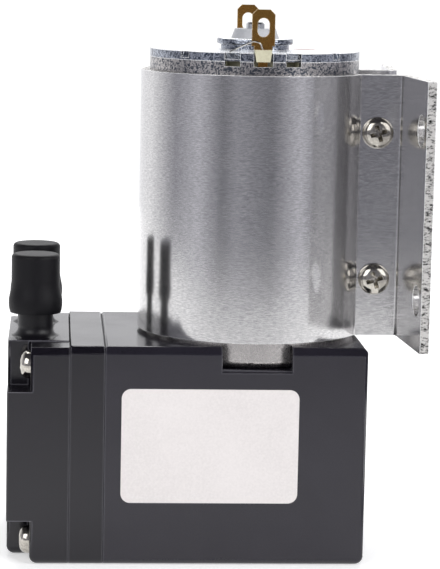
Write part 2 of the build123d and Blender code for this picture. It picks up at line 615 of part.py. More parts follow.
def clamp_disc():
    """The disc on the chamber side that clamps the diaphragm to the rod."""
    x0 = DIAPHRAGM_REST - CLAMP_DISC_THICKNESS
    sink = DIAPHRAGM_SCREW_HEAD - DIAPHRAGM_SCREW_RADIUS
    disc = turned_x([(x0, DIAPHRAGM_SCREW_HEAD + PART_GAP), (x0, CLAMP_DISC_RADIUS - 0.3),
                     (x0 + 0.3, CLAMP_DISC_RADIUS), (DIAPHRAGM_REST, CLAMP_DISC_RADIUS),
                     (DIAPHRAGM_REST, DIAPHRAGM_SCREW_RADIUS + PART_GAP),
                     (x0 + sink, DIAPHRAGM_SCREW_RADIUS + PART_GAP)], 0, DRIVE_HEIGHT)
    return disc


def diaphragm_screw():
    """A countersunk screw through disc and diaphragm into the rod."""
    x0 = DIAPHRAGM_REST - CLAMP_DISC_THICKNESS
    sink = DIAPHRAGM_SCREW_HEAD - DIAPHRAGM_SCREW_RADIUS
    end = x0 + DIAPHRAGM_SCREW_LENGTH
    return turned_x([(x0, 0), (x0, DIAPHRAGM_SCREW_HEAD), (x0 + sink, DIAPHRAGM_SCREW_RADIUS),
                     (end, DIAPHRAGM_SCREW_RADIUS), (end, 0)], 0, DRIVE_HEIGHT)


def connecting_rod():
    """Ring round the bearing, tapered arm and flange that carries the diaphragm."""
    ring_outer = BEARING_OUTER + ROD_RING_WALL
    arm_start = ROD_FLANGE_LEFT + ROD_FLANGE_THICKNESS / 2
    arm = make_face(Polyline([(arm_start, -ROD_WIDTH / 2), (arm_start, ROD_WIDTH / 2),
                              (CRANK_THROW, ring_outer * 0.8), (CRANK_THROW, -ring_outer * 0.8)],
                             close=True))
    body = Pos(0, 0, BEARING_LOW) * extrude(arm, ROD_THICKNESS)
    body += post(ring_outer, BEARING_LOW, BEARING_HIGH, CRANK_THROW)
    body += bar_x(CLAMP_DISC_RADIUS, ROD_FLANGE_LEFT, ROD_FLANGE_LEFT + ROD_FLANGE_THICKNESS,
                  0, DRIVE_HEIGHT)
    body -= post(BEARING_OUTER, BEARING_LOW - 1, BEARING_HIGH + 1, CRANK_THROW)
    screw_end = DIAPHRAGM_REST - CLAMP_DISC_THICKNESS + DIAPHRAGM_SCREW_LENGTH
    body -= bar_x(DIAPHRAGM_SCREW_RADIUS + THREAD_FIT, ROD_FLANGE_LEFT - 1, screw_end + 0.3, 0, DRIVE_HEIGHT)
    return body


# ---- Bearing and eccentric ----
def ball_groove():
    """The torus that the balls run in."""
    return Pos(CRANK_THROW, 0, DRIVE_HEIGHT) * Torus(BALL_CIRCLE, BALL_RADIUS + BALL_PLAY)


def bearing_inner_ring():
    ring = post(INNER_RING_OUTER, BEARING_LOW, BEARING_HIGH, CRANK_THROW)
    ring -= post(BEARING_BORE, BEARING_LOW - 1, BEARING_HIGH + 1, CRANK_THROW)
    return ring - ball_groove()


def bearing_outer_ring():
    ring = post(BEARING_OUTER, BEARING_LOW, BEARING_HIGH, CRANK_THROW)
    ring -= post(OUTER_RING_INNER, BEARING_LOW - 1, BEARING_HIGH + 1, CRANK_THROW)
    return ring - ball_groove()


def ball_places():
    for i in range(BALL_COUNT):
        turn = 2 * pi * i / BALL_COUNT
        yield (CRANK_THROW + BALL_CIRCLE * cos(turn), BALL_CIRCLE * sin(turn), DRIVE_HEIGHT)


def bearing_balls():
    return group([Pos(*place) * Sphere(BALL_RADIUS) for place in ball_places()])


def bearing_cage():
    """A ring that spaces the balls."""
    half_gap = (OUTER_RING_INNER - INNER_RING_OUTER) / 2 * 0.4
    half_height = BALL_RADIUS * 1.35
    cage = post(BALL_CIRCLE + half_gap, DRIVE_HEIGHT - half_height, DRIVE_HEIGHT + half_height, CRANK_THROW)
    cage -= post(BALL_CIRCLE - half_gap, DRIVE_HEIGHT - 9, DRIVE_HEIGHT + 9, CRANK_THROW)
    half = BALL_RADIUS + BALL_PLAY
    for i in range(BALL_COUNT):
        pocket = block(BALL_CIRCLE / 2, BALL_CIRCLE * 1.5, -half, half, -half, half)
        cage -= Pos(CRANK_THROW, 0, DRIVE_HEIGHT) * Rot(0, 0, 360 * i / BALL_COUNT) * pocket
    return cage


def eccentric():
    """Hub on the motor shaft with the crank pin below it and a counterweight opposite."""
    body = post(HUB_RADIUS, HUB_LOW, HUB_HIGH)
    sector = post(COUNTERWEIGHT_RADIUS, HUB_LOW + COUNTERWEIGHT_RISE, HUB_HIGH)
    sector -= block(-HUB_RADIUS / 2, COUNTERWEIGHT_RADIUS + 1, -COUNTERWEIGHT_RADIUS - 1,
                    COUNTERWEIGHT_RADIUS + 1, HUB_LOW - 1, HUB_HIGH + 1)
    body += sector
    body += post(PIN_SHOULDER, BEARING_HIGH, HUB_LOW, CRANK_THROW)
    body += post(BEARING_BORE, BEARING_LOW, BEARING_HIGH, CRANK_THROW)
    body -= post(SHAFT_RADIUS, HUB_LOW + SHAFT_END_WALL, HUB_HIGH + 1)
    body -= post(PIN_SCREW_RADIUS + THREAD_FIT, BEARING_LOW - 1,
                 BEARING_LOW + PIN_SCREW_LENGTH + 0.3, CRANK_THROW)
    body -= bar_x(SET_SCREW_RADIUS + THREAD_FIT, 0, COUNTERWEIGHT_RADIUS, 0, SET_SCREW_LEVEL)
    return body


def set_screw():
    end = HUB_RADIUS - 0.3
    screw = bar_x(SET_SCREW_RADIUS, SHAFT_RADIUS, end, 0, SET_SCREW_LEVEL)
    socket = Pos(end, 0, SET_SCREW_LEVEL) * Rot(0, 90, 0) * extrude(RegularPolygon(0.7, 6), 1.5, both=True)
    return screw - socket


def pin_screw():
    """Holds the bearing on the crank pin from below."""
    head_low = BEARING_LOW - PIN_SCREW_HEAD_HEIGHT
    screw = post(PIN_SCREW_HEAD, head_low, BEARING_LOW, CRANK_THROW)
    return screw + post(PIN_SCREW_RADIUS, head_low, BEARING_LOW + PIN_SCREW_LENGTH, CRANK_THROW)


# ---- Motor ----
def motor_can():
    """The drawn steel cup with a bearing boss in its closed end and windows in its rim."""
    inner = CAN_RADIUS - CAN_WALL
    body = post(CAN_RADIUS, CAN_BOTTOM, CAN_RIM)
    body = fillet(body.edges().sort_by(Axis.Z)[0], CAN_EDGE_ROUND)
    body -= post(inner, CAN_BOTTOM + CAN_WALL, CAN_RIM + 1)
    body += post(MOTOR_BOSS_RADIUS, CAN_BOTTOM - LOWER_BOSS_HEIGHT, CAN_BOTTOM + CAN_WALL)
    body -= post(BUSH_RADIUS, CAN_BOTTOM - LOWER_BOSS_HEIGHT - 1, CAN_BOTTOM + CAN_WALL + 1)
    for side in (-1, 1):
        body -= post(MOTOR_SCREW_RADIUS + THREAD_FIT, CAN_BOTTOM - 1, CAN_BOTTOM + CAN_WALL + 1,
                     0, side * MOTOR_SCREW_CIRCLE)
    for angle, width, _ in rim_windows():
        body -= rim_cut(angle, width, CAN_WALL + 1, CAN_RIM - RIM_WINDOW_HEIGHT, CAN_RIM + 1)
    return body


def rim_windows():
    """(angle, width, depth behind) of the windows under the can's rim."""
    for base in (-90, 90):
        yield base, INSULATOR_TOP_WIDTH + 2 * PART_GAP, CAN_RADIUS - TERMINAL_OFFSET + TERMINAL_THICKNESS / 2
        for side in (-1, 1):
            yield base + side * RIM_NOTCH_ANGLE, RIM_NOTCH_WIDTH, HOLDER_NOTCH


def rim_cut(angle, width, depth, z0, z1):
    """A radial cutter through the motor's rim."""
    cutter = block(CAN_RADIUS - depth, CAN_RADIUS + 1, -width / 2, width / 2, z0, z1)
    return Rot(0, 0, angle) * cutter


def stake_cut(angle, width, depth):
    """A slope cut in the plate's rim, where a stake holds the can to it."""
    low, high = CAN_RIM + STAKE_START, END_PLATE_TOP
    outline = make_face(Polyline([(CAN_RADIUS - STAKE_EDGE, 0, low), (CAN_RADIUS + 1, 0, low),
                                  (CAN_RADIUS + 1, 0, high + 1), (CAN_RADIUS - depth, 0, high + 1),
                                  (CAN_RADIUS - depth, 0, high)], close=True))
    return Rot(0, 0, angle) * extrude(outline, width / 2, both=True)


def motor_end_plate():
    """The steel end plate with its bearing boss and rim notches."""
    lip = post(MOTOR_BOSS_RADIUS, UPPER_BOSS_TOP - BOSS_LIP_HEIGHT, UPPER_BOSS_TOP)
    lip = fillet(lip.edges().filter_by(GeomType.CIRCLE), BOSS_LIP_ROUND)
    body = post(CAN_RADIUS, CAN_RIM, END_PLATE_TOP) + lip
    body += post(MOTOR_BOSS_RADIUS - BOSS_UNDERCUT, CAN_RIM, UPPER_BOSS_TOP - BOSS_LIP_HEIGHT / 2)
    body -= post(BUSH_RADIUS, CAN_RIM - 1, UPPER_BOSS_TOP + 1)
    for base in (-90, 90):
        body -= rim_cut(base, INSULATOR_TOP_WIDTH + 2 * PART_GAP, INSULATOR_DEPTH, CAN_RIM - 1, END_PLATE_TOP + 1)
        for side in (-1, 1):
            angle = base + side * RIM_NOTCH_ANGLE
            body -= rim_cut(angle, RIM_NOTCH_WIDTH, RIM_NOTCH_DEPTH, CAN_RIM - 1, CAN_RIM + STAKE_START)
            body -= stake_cut(angle, RIM_NOTCH_WIDTH, RIM_NOTCH_DEPTH)
            body -= stake_cut(base + side * SMALL_NOTCH_ANGLE, SMALL_NOTCH_WIDTH, RIM_NOTCH_DEPTH / 2)
    for angle in (DIMPLE_ANGLE, 180 - DIMPLE_ANGLE):
        body -= Rot(0, 0, angle) * post(DIMPLE_RADIUS, END_PLATE_TOP - DIMPLE_DEPTH, END_PLATE_TOP + 1,
                                        DIMPLE_CIRCLE)
    return body


def brush_holder():
    """The moulded disc under the end plate: brush guides below, terminal insulators above."""
    reach = CAN_RADIUS - CAN_WALL - PART_GAP
    body = post(reach, HOLDER_LOW, CAN_RIM) - post(HOLDER_HOLE, HOLDER_LOW - 1, CAN_RIM + 1)
    guide_low = BRUSH_MIDDLE - BRUSH_HEIGHT / 2 - 1.2
    brush_in = COMMUTATOR_RADIUS + BRUSH_GAP
    for side in (-1, 1):
        y0, y1 = sorted((side * (brush_in + 2.5), side * (brush_in + BRUSH_LENGTH + 1.2)))
        body += block(-BRUSH_WIDTH / 2 - 1.2, BRUSH_WIDTH / 2 + 1.2, y0, y1, guide_low, HOLDER_LOW + 0.5)
        y0, y1 = sorted((side * brush_in, side * (brush_in + BRUSH_LENGTH)))
        body -= block(-BRUSH_WIDTH / 2 - THREAD_FIT, BRUSH_WIDTH / 2 + THREAD_FIT, y0, y1,
                      BRUSH_MIDDLE - BRUSH_HEIGHT / 2 - THREAD_FIT, BRUSH_MIDDLE + BRUSH_HEIGHT / 2 + THREAD_FIT)
        body += insulator(side)
        body -= terminal_blank(side, THREAD_FIT)
    for angle, width, depth in rim_windows():
        body -= rim_cut(angle, width, depth, CAN_RIM - RIM_WINDOW_HEIGHT, CAN_RIM)
    return body


def insulator(side):
    """The block round a terminal's foot, wider at its top."""
    low, high = CAN_RIM, END_PLATE_TOP + INSULATOR_HEIGHT
    half, half_top = INSULATOR_WIDTH / 2, INSULATOR_TOP_WIDTH / 2
    outline = make_face(Polyline([(-half, 0, low), (half, 0, low), (half_top, 0, high),
                                  (-half_top, 0, high)], close=True))
    slab = Pos(0, side * TERMINAL_OFFSET, 0) * extrude(outline, INSULATOR_BACK, both=True)
    return slab & post(CAN_RADIUS - 0.1, low - 1, high + 1)


def terminal_blank(side, gap=0.0):
    """The flat blade, neck and foot of a terminal, larger all round by the gap."""
    y = side * TERMINAL_OFFSET
    half_thick = TERMINAL_THICKNESS / 2 + gap
    neck_low, shoulder = END_PLATE_TOP + INSULATOR_HEIGHT, END_PLATE_TOP + TERMINAL_SHOULDER
    body = block(-TERMINAL_WIDTH / 2, TERMINAL_WIDTH / 2, y - half_thick, y + half_thick,
                 shoulder, END_PLATE_TOP + TERMINAL_TOP)
    body += block(-TERMINAL_NECK / 2, TERMINAL_NECK / 2, y - half_thick, y + half_thick, neck_low, shoulder)
    return body + block(-TERMINAL_FOOT_WIDTH / 2 - gap, TERMINAL_FOOT_WIDTH / 2 + gap, y - half_thick,
                        y + half_thick, END_PLATE_TOP - TERMINAL_FOOT - gap, neck_low)


def terminal(side):
    """A brass solder terminal with chamfered corners and an oval hole."""
    blade = terminal_blank(side)
    top_corners = blade.edges().filter_by(Axis.Y).group_by(Axis.Z)[-1]
    blade = chamfer(top_corners, TERMINAL_CHAMFER)
    centre = END_PLATE_TOP + TERMINAL_TOP - TERMINAL_HOLE_TOP - TERMINAL_HOLE_HEIGHT / 2
    slot = SlotOverall(TERMINAL_HOLE_HEIGHT, TERMINAL_HOLE_WIDTH, rotation=90)
    hole = Pos(0, side * TERMINAL_OFFSET, centre) * Rot(90, 0, 0) * extrude(slot, 2, both=True)
    return blade - hole


def motor_bush(z0, z1):
    return post(BUSH_RADIUS, z0, z1) - post(SHAFT_RADIUS + RUNNING_FIT, z0 - 1, z1 + 1)


def lower_bush():
    low = CAN_BOTTOM - LOWER_BOSS_HEIGHT
    return motor_bush(low, low + BUSH_LENGTH)


def upper_bush():
    return motor_bush(UPPER_BOSS_TOP - BUSH_LENGTH, UPPER_BOSS_TOP)


def shaft_collar():
    """The tapered ring round the shaft on the upper boss."""
    bore = SHAFT_RADIUS + RUNNING_FIT
    return turned([(bore, UPPER_BOSS_TOP), (COLLAR_LOWER_RADIUS, UPPER_BOSS_TOP),
                   (COLLAR_UPPER_RADIUS, UPPER_BOSS_TOP + COLLAR_HEIGHT),
                   (bore, UPPER_BOSS_TOP + COLLAR_HEIGHT)])


def shaft():
    rod = post(SHAFT_RADIUS, HUB_LOW + SHAFT_END_WALL, SHAFT_TOP)
    return chamfer(rod.edges().sort_by(Axis.Z)[-1], 0.3)


def magnets():
    """Two arc magnets against the can's wall."""
    outer = CAN_RADIUS - CAN_WALL
    low, high = CORE_LOW - MAGNET_OVERHANG, CORE_HIGH + MAGNET_OVERHANG
    ring = post(outer, low, high)
    ring -= post(outer - MAGNET_THICKNESS, low - 1, high + 1)
    reach = outer * 2
    half = radians(MAGNET_ARC / 2)
    wedge = make_face(Polyline([(0, 0), (reach * cos(half), -reach * sin(half)), (reach * 2, 0),
                                (reach * cos(half), reach * sin(half))], close=True))
    wedge = Pos(0, 0, low) * extrude(wedge, high - low)
    return group([ring & (Rot(0, 0, turn) * wedge) for turn in (0, 180)])


def armature_core():
    """Laminated core with one T-shaped pole per winding."""
    face = Circle(CORE_HUB_RADIUS)
    tip_ring = Circle(CORE_RADIUS) - Circle(CORE_RADIUS - POLE_TIP_THICKNESS)
    for i in range(POLE_COUNT):
        turn = 360 * i / POLE_COUNT
        face += Rot(0, 0, turn) * Pos(CORE_RADIUS / 2 - 0.2, 0) * Rectangle(CORE_RADIUS - 1, POLE_NECK)
        tip_ring -= Rot(0, 0, turn + 180 / POLE_COUNT) * Pos(CORE_RADIUS, 0) * Rectangle(6, SLOT_OPENING)
    face = face + tip_ring - Circle(SHAFT_RADIUS)
    return Pos(0, 0, CORE_LOW) * extrude(face, CORE_LENGTH)


def windings():
    """One coil round each pole, with end turns above and below the core."""
    outer = CORE_RADIUS - POLE_TIP_THICKNESS - PART_GAP
    inner = CORE_HUB_RADIUS + COIL_HUB_GAP
    half_inside = POLE_NECK / 2 + PART_GAP / 2
    half_outside = half_inside + COIL_THICKNESS
    coil = block(inner, outer, -half_outside, half_outside, CORE_LOW - COIL_OVERHANG, CORE_HIGH + COIL_OVERHANG)
    coil -= block(inner - 1, outer + 1, -half_inside, half_inside, CORE_LOW - 0.05, CORE_HIGH + 0.05)
    # Each coil keeps to its own sector between the poles.
    half_sector = radians(180 / POLE_COUNT - COIL_SECTOR_GAP)
    reach = 2 * outer
    side = reach * tan(half_sector)
    limit = make_face(Polyline([(0, 0), (reach, -side), (reach, side)], close=True)) & Circle(outer)
    low, high = CORE_LOW - COIL_OVERHANG, CORE_HIGH + COIL_OVERHANG
    coil &= Pos(0, 0, low) * extrude(limit, high - low)
    return group([Rot(0, 0, 360 * i / POLE_COUNT) * coil for i in range(POLE_COUNT)])


def commutator():
    """Copper segments on the shaft."""
    body = post(COMMUTATOR_RADIUS, COMMUTATOR_LOW, COMMUTATOR_HIGH)
    body += post(COMMUTATOR_RADIUS + 1.2, COMMUTATOR_LOW - 0.8, COMMUTATOR_LOW)
    body -= post(SHAFT_RADIUS, COMMUTATOR_LOW - 2, COMMUTATOR_HIGH + 1)
    for i in range(POLE_COUNT):
        slot = block(COMMUTATOR_RADIUS - 0.8, COMMUTATOR_RADIUS + 2, -COMMUTATOR_SLOT / 2,
                     COMMUTATOR_SLOT / 2, COMMUTATOR_LOW - 2, COMMUTATOR_HIGH + 1)
        body -= Rot(0, 0, 360 * (i + 0.5) / POLE_COUNT) * slot
    return body


def brushes():
    """Two carbon brushes that end just off the commutator."""
    inner = COMMUTATOR_RADIUS + BRUSH_GAP
    blocks = []
    for side in (-1, 1):
        y0, y1 = sorted((side * (inner - 0.4), side * (inner + BRUSH_LENGTH)))
        brush = block(-BRUSH_WIDTH / 2, BRUSH_WIDTH / 2, y0, y1,
                      BRUSH_MIDDLE - BRUSH_HEIGHT / 2, BRUSH_MIDDLE + BRUSH_HEIGHT / 2)
        blocks.append(brush - post(inner, COMMUTATOR_LOW, COMMUTATOR_HIGH))
    return group(blocks)


def motor_screws():
    """Two screws from the crank space into the can's closed end."""
    screws = []
    for side in (-1, 1):
        y = side * MOTOR_SCREW_CIRCLE
        head_low = CAVITY_TOP - MOTOR_SCREW_HEAD_HEIGHT
        screw = post(MOTOR_SCREW_HEAD, head_low, CAVITY_TOP, 0, y)
        screws.append(screw + post(MOTOR_SCREW_RADIUS, CAVITY_TOP, CAN_BOTTOM + MOTOR_SCREW_GRIP, 0, y))
    return group(screws)


def suppressor_lead():
    """A short bare wire from a rim notch over to the front terminal's insulator."""
    front = -TERMINAL_OFFSET - TERMINAL_THICKNESS / 2 - LEAD_RADIUS - 0.1
    foot = END_PLATE_TOP + INSULATOR_HEIGHT + LEAD_RADIUS * 0.5
    path = FilletPolyline(
        (-5.4, front + 1.7, END_PLATE_TOP + LEAD_RADIUS), (-3.4, front + 0.5, END_PLATE_TOP + 1.2),
        (-1.6, front, END_PLATE_TOP + 2.0), (-0.5, front, END_PLATE_TOP + 1.7), (-0.15, front, foot),
        radius=0.7,
    )
    section = Plane(origin=path @ 0, z_dir=path % 0) * RegularPolygon(LEAD_RADIUS, 6)
    return sweep(section, path=path, transition=Transition.ROUND)


# ---- Clamp bracket ----
def flange_outline(side):
    """One flange with its bend, in the XY plane."""
    lean = radians(FLANGE_SPLAY)
    outer_bend = BEND_RADIUS + SHEET
    # Unit vector along the flange away from the ear, and its outward normal.
    run = (sin(lean), -cos(lean))
    normal = (cos(lean), sin(lean))
    centre = (EAR_END - BEND_RADIUS, -EAR_OUTER - BEND_RADIUS)
    start_in = (centre[0] + BEND_RADIUS * normal[0], centre[1] + BEND_RADIUS * normal[1])
    start_out = (centre[0] + outer_bend * normal[0], centre[1] + outer_bend * normal[1])
    end_in = (start_in[0] + FLANGE_LENGTH * run[0], start_in[1] + FLANGE_LENGTH * run[1])
    end_out = (start_out[0] + FLANGE_LENGTH * run[0], start_out[1] + FLANGE_LENGTH * run[1])
    half_turn = radians(90 + FLANGE_SPLAY) / 2
    mid_dir = (sin(half_turn), cos(half_turn))
    mid_in = (centre[0] + BEND_RADIUS * mid_dir[0], centre[1] + BEND_RADIUS * mid_dir[1])
    mid_out = (centre[0] + outer_bend * mid_dir[0], centre[1] + outer_bend * mid_dir[1])
    ear_in, ear_out = (centre[0], -EAR_OUTER), (centre[0], -EAR_INNER)
    edges = [ThreePointArc(ear_in, mid_in, start_in), Line(start_in, end_in), Line(end_in, end_out),
             Line(end_out, start_out), ThreePointArc(start_out, mid_out, ear_out), Line(ear_out, ear_in)]
    face = make_face(edges)
    return face if side < 0 else mirror(face, Plane.XZ)


def bracket():
    """The one-piece clamp: a wrap round the motor, two ears and two splayed foot flanges."""
    bend_start = EAR_END - BEND_RADIUS
    ears = Pos(bend_start / 2, 0) * Rectangle(bend_start, 2 * EAR_OUTER)
    face = Circle(WRAP_OUTER) + ears
    roots = face.vertices().filter_by(lambda v: 0 < v.X < bend_start - 1 and abs(v.Y) > EAR_OUTER - 0.01)
    face = fillet(roots, EAR_BLEND)
    face -= Pos(bend_start, 0) * Rectangle(2 * bend_start, 2 * EAR_INNER)
    face -= Circle(WRAP_INNER)
    face += flange_outline(-1) + flange_outline(1)
    body = Pos(0, 0, WRAP_START) * extrude(face, WRAP_HEIGHT)
    for z in CLAMP_HEIGHTS:
        body -= bar_y(CLAMP_SCREW_RADIUS + CLAMP_HOLE_CLEARANCE, -EAR_OUTER - 1, EAR_OUTER + 1, CLAMP_SCREW_X, z)
    for side in (-1, 1):
        for step in (-1, 1):
            body -= bar_x(FLANGE_HOLE_RADIUS, EAR_END - 2, EAR_END + 6, side * FLANGE_HOLE_SPACING_Y / 2,
                          WRAP_MIDDLE + step * FLANGE_HOLE_SPACING_Z / 2)
    return body


def bracket_screws():
    """Pan head screws through both ears."""
    length = 2 * EAR_OUTER + NUT_HEIGHT + THREAD_RUNOUT
    screws = []
    for z in CLAMP_HEIGHTS:
        screw = pan_head_along_x(0, 0, 0, CLAMP_SCREW_RADIUS, CLAMP_SCREW_HEAD, CLAMP_SCREW_HEAD_HEIGHT, length)
        screws.append(Pos(CLAMP_SCREW_X, -EAR_OUTER, z) * Rot(0, 0, 90) * screw)
    return group(screws)


def bracket_nuts():
    """Hexagon nuts on the rear ear."""
    nut = extrude(RegularPolygon(NUT_ACROSS_FLATS / 2, 6, major_radius=False), NUT_HEIGHT)
    nut -= post(CLAMP_SCREW_RADIUS + THREAD_FIT, -1, NUT_HEIGHT + 1)
    nut = Rot(-90, 0, 0) * Rot(0, 0, 30) * nut
    return group([Pos(CLAMP_SCREW_X, EAR_OUTER, z) * nut for z in CLAMP_HEIGHTS])


def label():
    """The thin blank sticker on the crankcase's front."""
    face = RectangleRounded(LABEL_WIDTH, LABEL_HEIGHT, LABEL_CORNER)
    middle = (LABEL_LEFT + LABEL_WIDTH / 2, -HALF_DEPTH, LABEL_BOTTOM + LABEL_HEIGHT / 2)
    return Pos(*middle) * Rot(90, 0, 0) * extrude(face, LABEL_THICKNESS)


NODES = {
    "crankcase": crankcase,
    "bottom_cover": bottom_cover,
    "bottom_cover_screws": bottom_cover_screws,
    "valve_plate": valve_plate,
    "inlet_valve": inlet_valve,
    "outlet_valve": outlet_valve,
    "head_gasket": head_gasket,
    "head_cover": head_cover,
    "head_screws": head_screws,
    "inlet_nozzle": lambda: nozzle(-1),
    "outlet_nozzle": lambda: nozzle(1),
    "inlet_cap": lambda: nozzle_cap(-1),
    "outlet_cap": lambda: nozzle_cap(1),
    "diaphragm": diaphragm,
    "clamp_disc": clamp_disc,
    "diaphragm_screw": diaphragm_screw,
    "connecting_rod": connecting_rod,
    "bearing_inner_ring": bearing_inner_ring,
    "bearing_outer_ring": bearing_outer_ring,
    "bearing_balls": bearing_balls,
    "bearing_cage": bearing_cage,
    "eccentric": eccentric,
    "set_screw": set_screw,
    "pin_screw": pin_screw,
    "motor_can": motor_can,
    "motor_end_plate": motor_end_plate,
    "brush_holder": brush_holder,
    "front_terminal": lambda: terminal(-1),
    "rear_terminal": lambda: terminal(1),
    "lower_bush": lower_bush,
    "upper_bush": upper_bush,
    "shaft_collar": shaft_collar,
    "shaft": shaft,
    "magnets": magnets,
    "armature_core": armature_core,
    "windings": windings,
    "commutator": commutator,
    "brushes": brushes,
    "motor_screws": motor_screws,
    "suppressor_lead": suppressor_lead,
    "bracket": bracket,
    "bracket_screws": bracket_screws,
    "bracket_nuts": bracket_nuts,
    "label": label,
}


def main():
    os.makedirs("parts", exist_ok=True)
    for name, make in NODES.items():
        export_step(make(), f"parts/{name}.step")


if __name__ == "__main__":
    main()
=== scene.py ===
"""A small diaphragm vacuum pump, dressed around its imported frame.

The rigid nodes of the frame keep their shapes and get their finishes here. The screws with their
cross recesses, the threads and other small forms are made here and stand for plain nodes.
Everything is in metres in the frame's own axes: +Z runs up the motor, -X to the pump head and
+X to the mounting flanges. Fields whose names end in _mm are in millimetres.
"""
import logging
import math
from dataclasses import dataclass
from enum import Enum
from typing import Any, ClassVar, Iterable, Optional, Sequence

import bmesh
import bpy
from bmesh.types import BMEdge, BMesh, BMVert
from bpy.types import Material, Mesh, Node, NodeSocket, NodeTree, Object
from mathutils import Matrix, Vector

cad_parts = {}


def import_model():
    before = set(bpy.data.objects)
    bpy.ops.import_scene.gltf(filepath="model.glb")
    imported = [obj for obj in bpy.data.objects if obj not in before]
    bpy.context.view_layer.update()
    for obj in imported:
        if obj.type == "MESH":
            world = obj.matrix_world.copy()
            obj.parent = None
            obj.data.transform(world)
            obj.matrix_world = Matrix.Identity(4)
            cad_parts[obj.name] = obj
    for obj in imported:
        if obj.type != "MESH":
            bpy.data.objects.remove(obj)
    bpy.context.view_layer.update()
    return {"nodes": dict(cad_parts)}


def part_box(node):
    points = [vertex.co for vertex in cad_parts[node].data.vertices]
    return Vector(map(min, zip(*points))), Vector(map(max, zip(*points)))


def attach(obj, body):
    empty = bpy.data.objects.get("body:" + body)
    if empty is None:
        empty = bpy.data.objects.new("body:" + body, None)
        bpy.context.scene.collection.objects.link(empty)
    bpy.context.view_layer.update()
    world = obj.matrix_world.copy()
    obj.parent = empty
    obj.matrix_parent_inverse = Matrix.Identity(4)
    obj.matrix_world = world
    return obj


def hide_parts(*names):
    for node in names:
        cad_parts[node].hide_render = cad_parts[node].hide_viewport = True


MM = 0.001
LOG = logging.getLogger("vacuum_pump")

Colour = tuple[float, float, float, float]
Point = tuple[float, float, float]
Pair = tuple[float, float]

# Where noise values mostly lie: one noise, two multiplied, and the whole range.
NOISE_SPAN: Pair = (0.3, 0.7)
PRODUCT_SPAN: Pair = (0.12, 0.42)
WHOLE_SPAN: Pair = (0.0, 1.0)
# Cosine between the rounded and the true normal: full edge colour, and none. The edge colour is a
# painted highlight, and real wear only on brass.
WEAR_AND_HIGHLIGHT_SPAN: Pair = (0.88, 0.99)
SMOOTH_BELOW_DEG = 35.0


# ---- Colours and nodes ----
def linear(hex_colour: str) -> Colour:
    """Turn an sRGB hex colour into linear RGBA.

    Args:
        hex_colour: Six hex digits, with or without a leading #.

    Returns:
        Red, green, blue and an alpha of 1.
    """
    digits = hex_colour.lstrip("#")
    channels = [int(digits[i:i + 2], 16) / 255 for i in (0, 2, 4)]
    values = [c / 12.92 if c <= 0.04045 else ((c + 0.055) / 1.055) ** 2.4 for c in channels]
    return (values[0], values[1], values[2], 1.0)


def add(tree: NodeTree, kind: str, inputs: Optional[dict[Any, Any]] = None,
        **settings: Any) -> Node:
    """Add a node with its settings, values and links.

    Args:
        tree: The tree that the node goes in.
        kind: The node's type name.
        inputs: Values or output sockets by the input's name or number.
        **settings: Properties of the node itself.

    Returns:
        The new node.
    """
    node = tree.nodes.new(kind)
    for name, value in settings.items():
        setattr(node, name, value)
    for key, value in (inputs or {}).items():
        if isinstance(value, NodeSocket):
            tree.links.new(value, node.inputs[key])
        else:
            node.inputs[key].default_value = value
    return node


def ramp(tree: NodeTree, factor: NodeSocket, stops: Sequence[tuple[float, str]]) -> NodeSocket:
    """Turn a factor into a colour along a row of stops.

    Args:
        tree: The tree that the ramp goes in.
        factor: The socket that picks the place along the ramp.
        stops: (place, hex colour) in rising order.

    Returns:
        The ramp's colour socket.
    """
    node = add(tree, "ShaderNodeValToRGB", {"Fac": factor})
    elements = node.color_ramp.elements
    while len(elements) < len(stops):
        elements.new(1.0)
    for element, (place, colour) in zip(elements, stops):
        element.position = place
        element.color = linear(colour)
    return node.outputs["Color"]


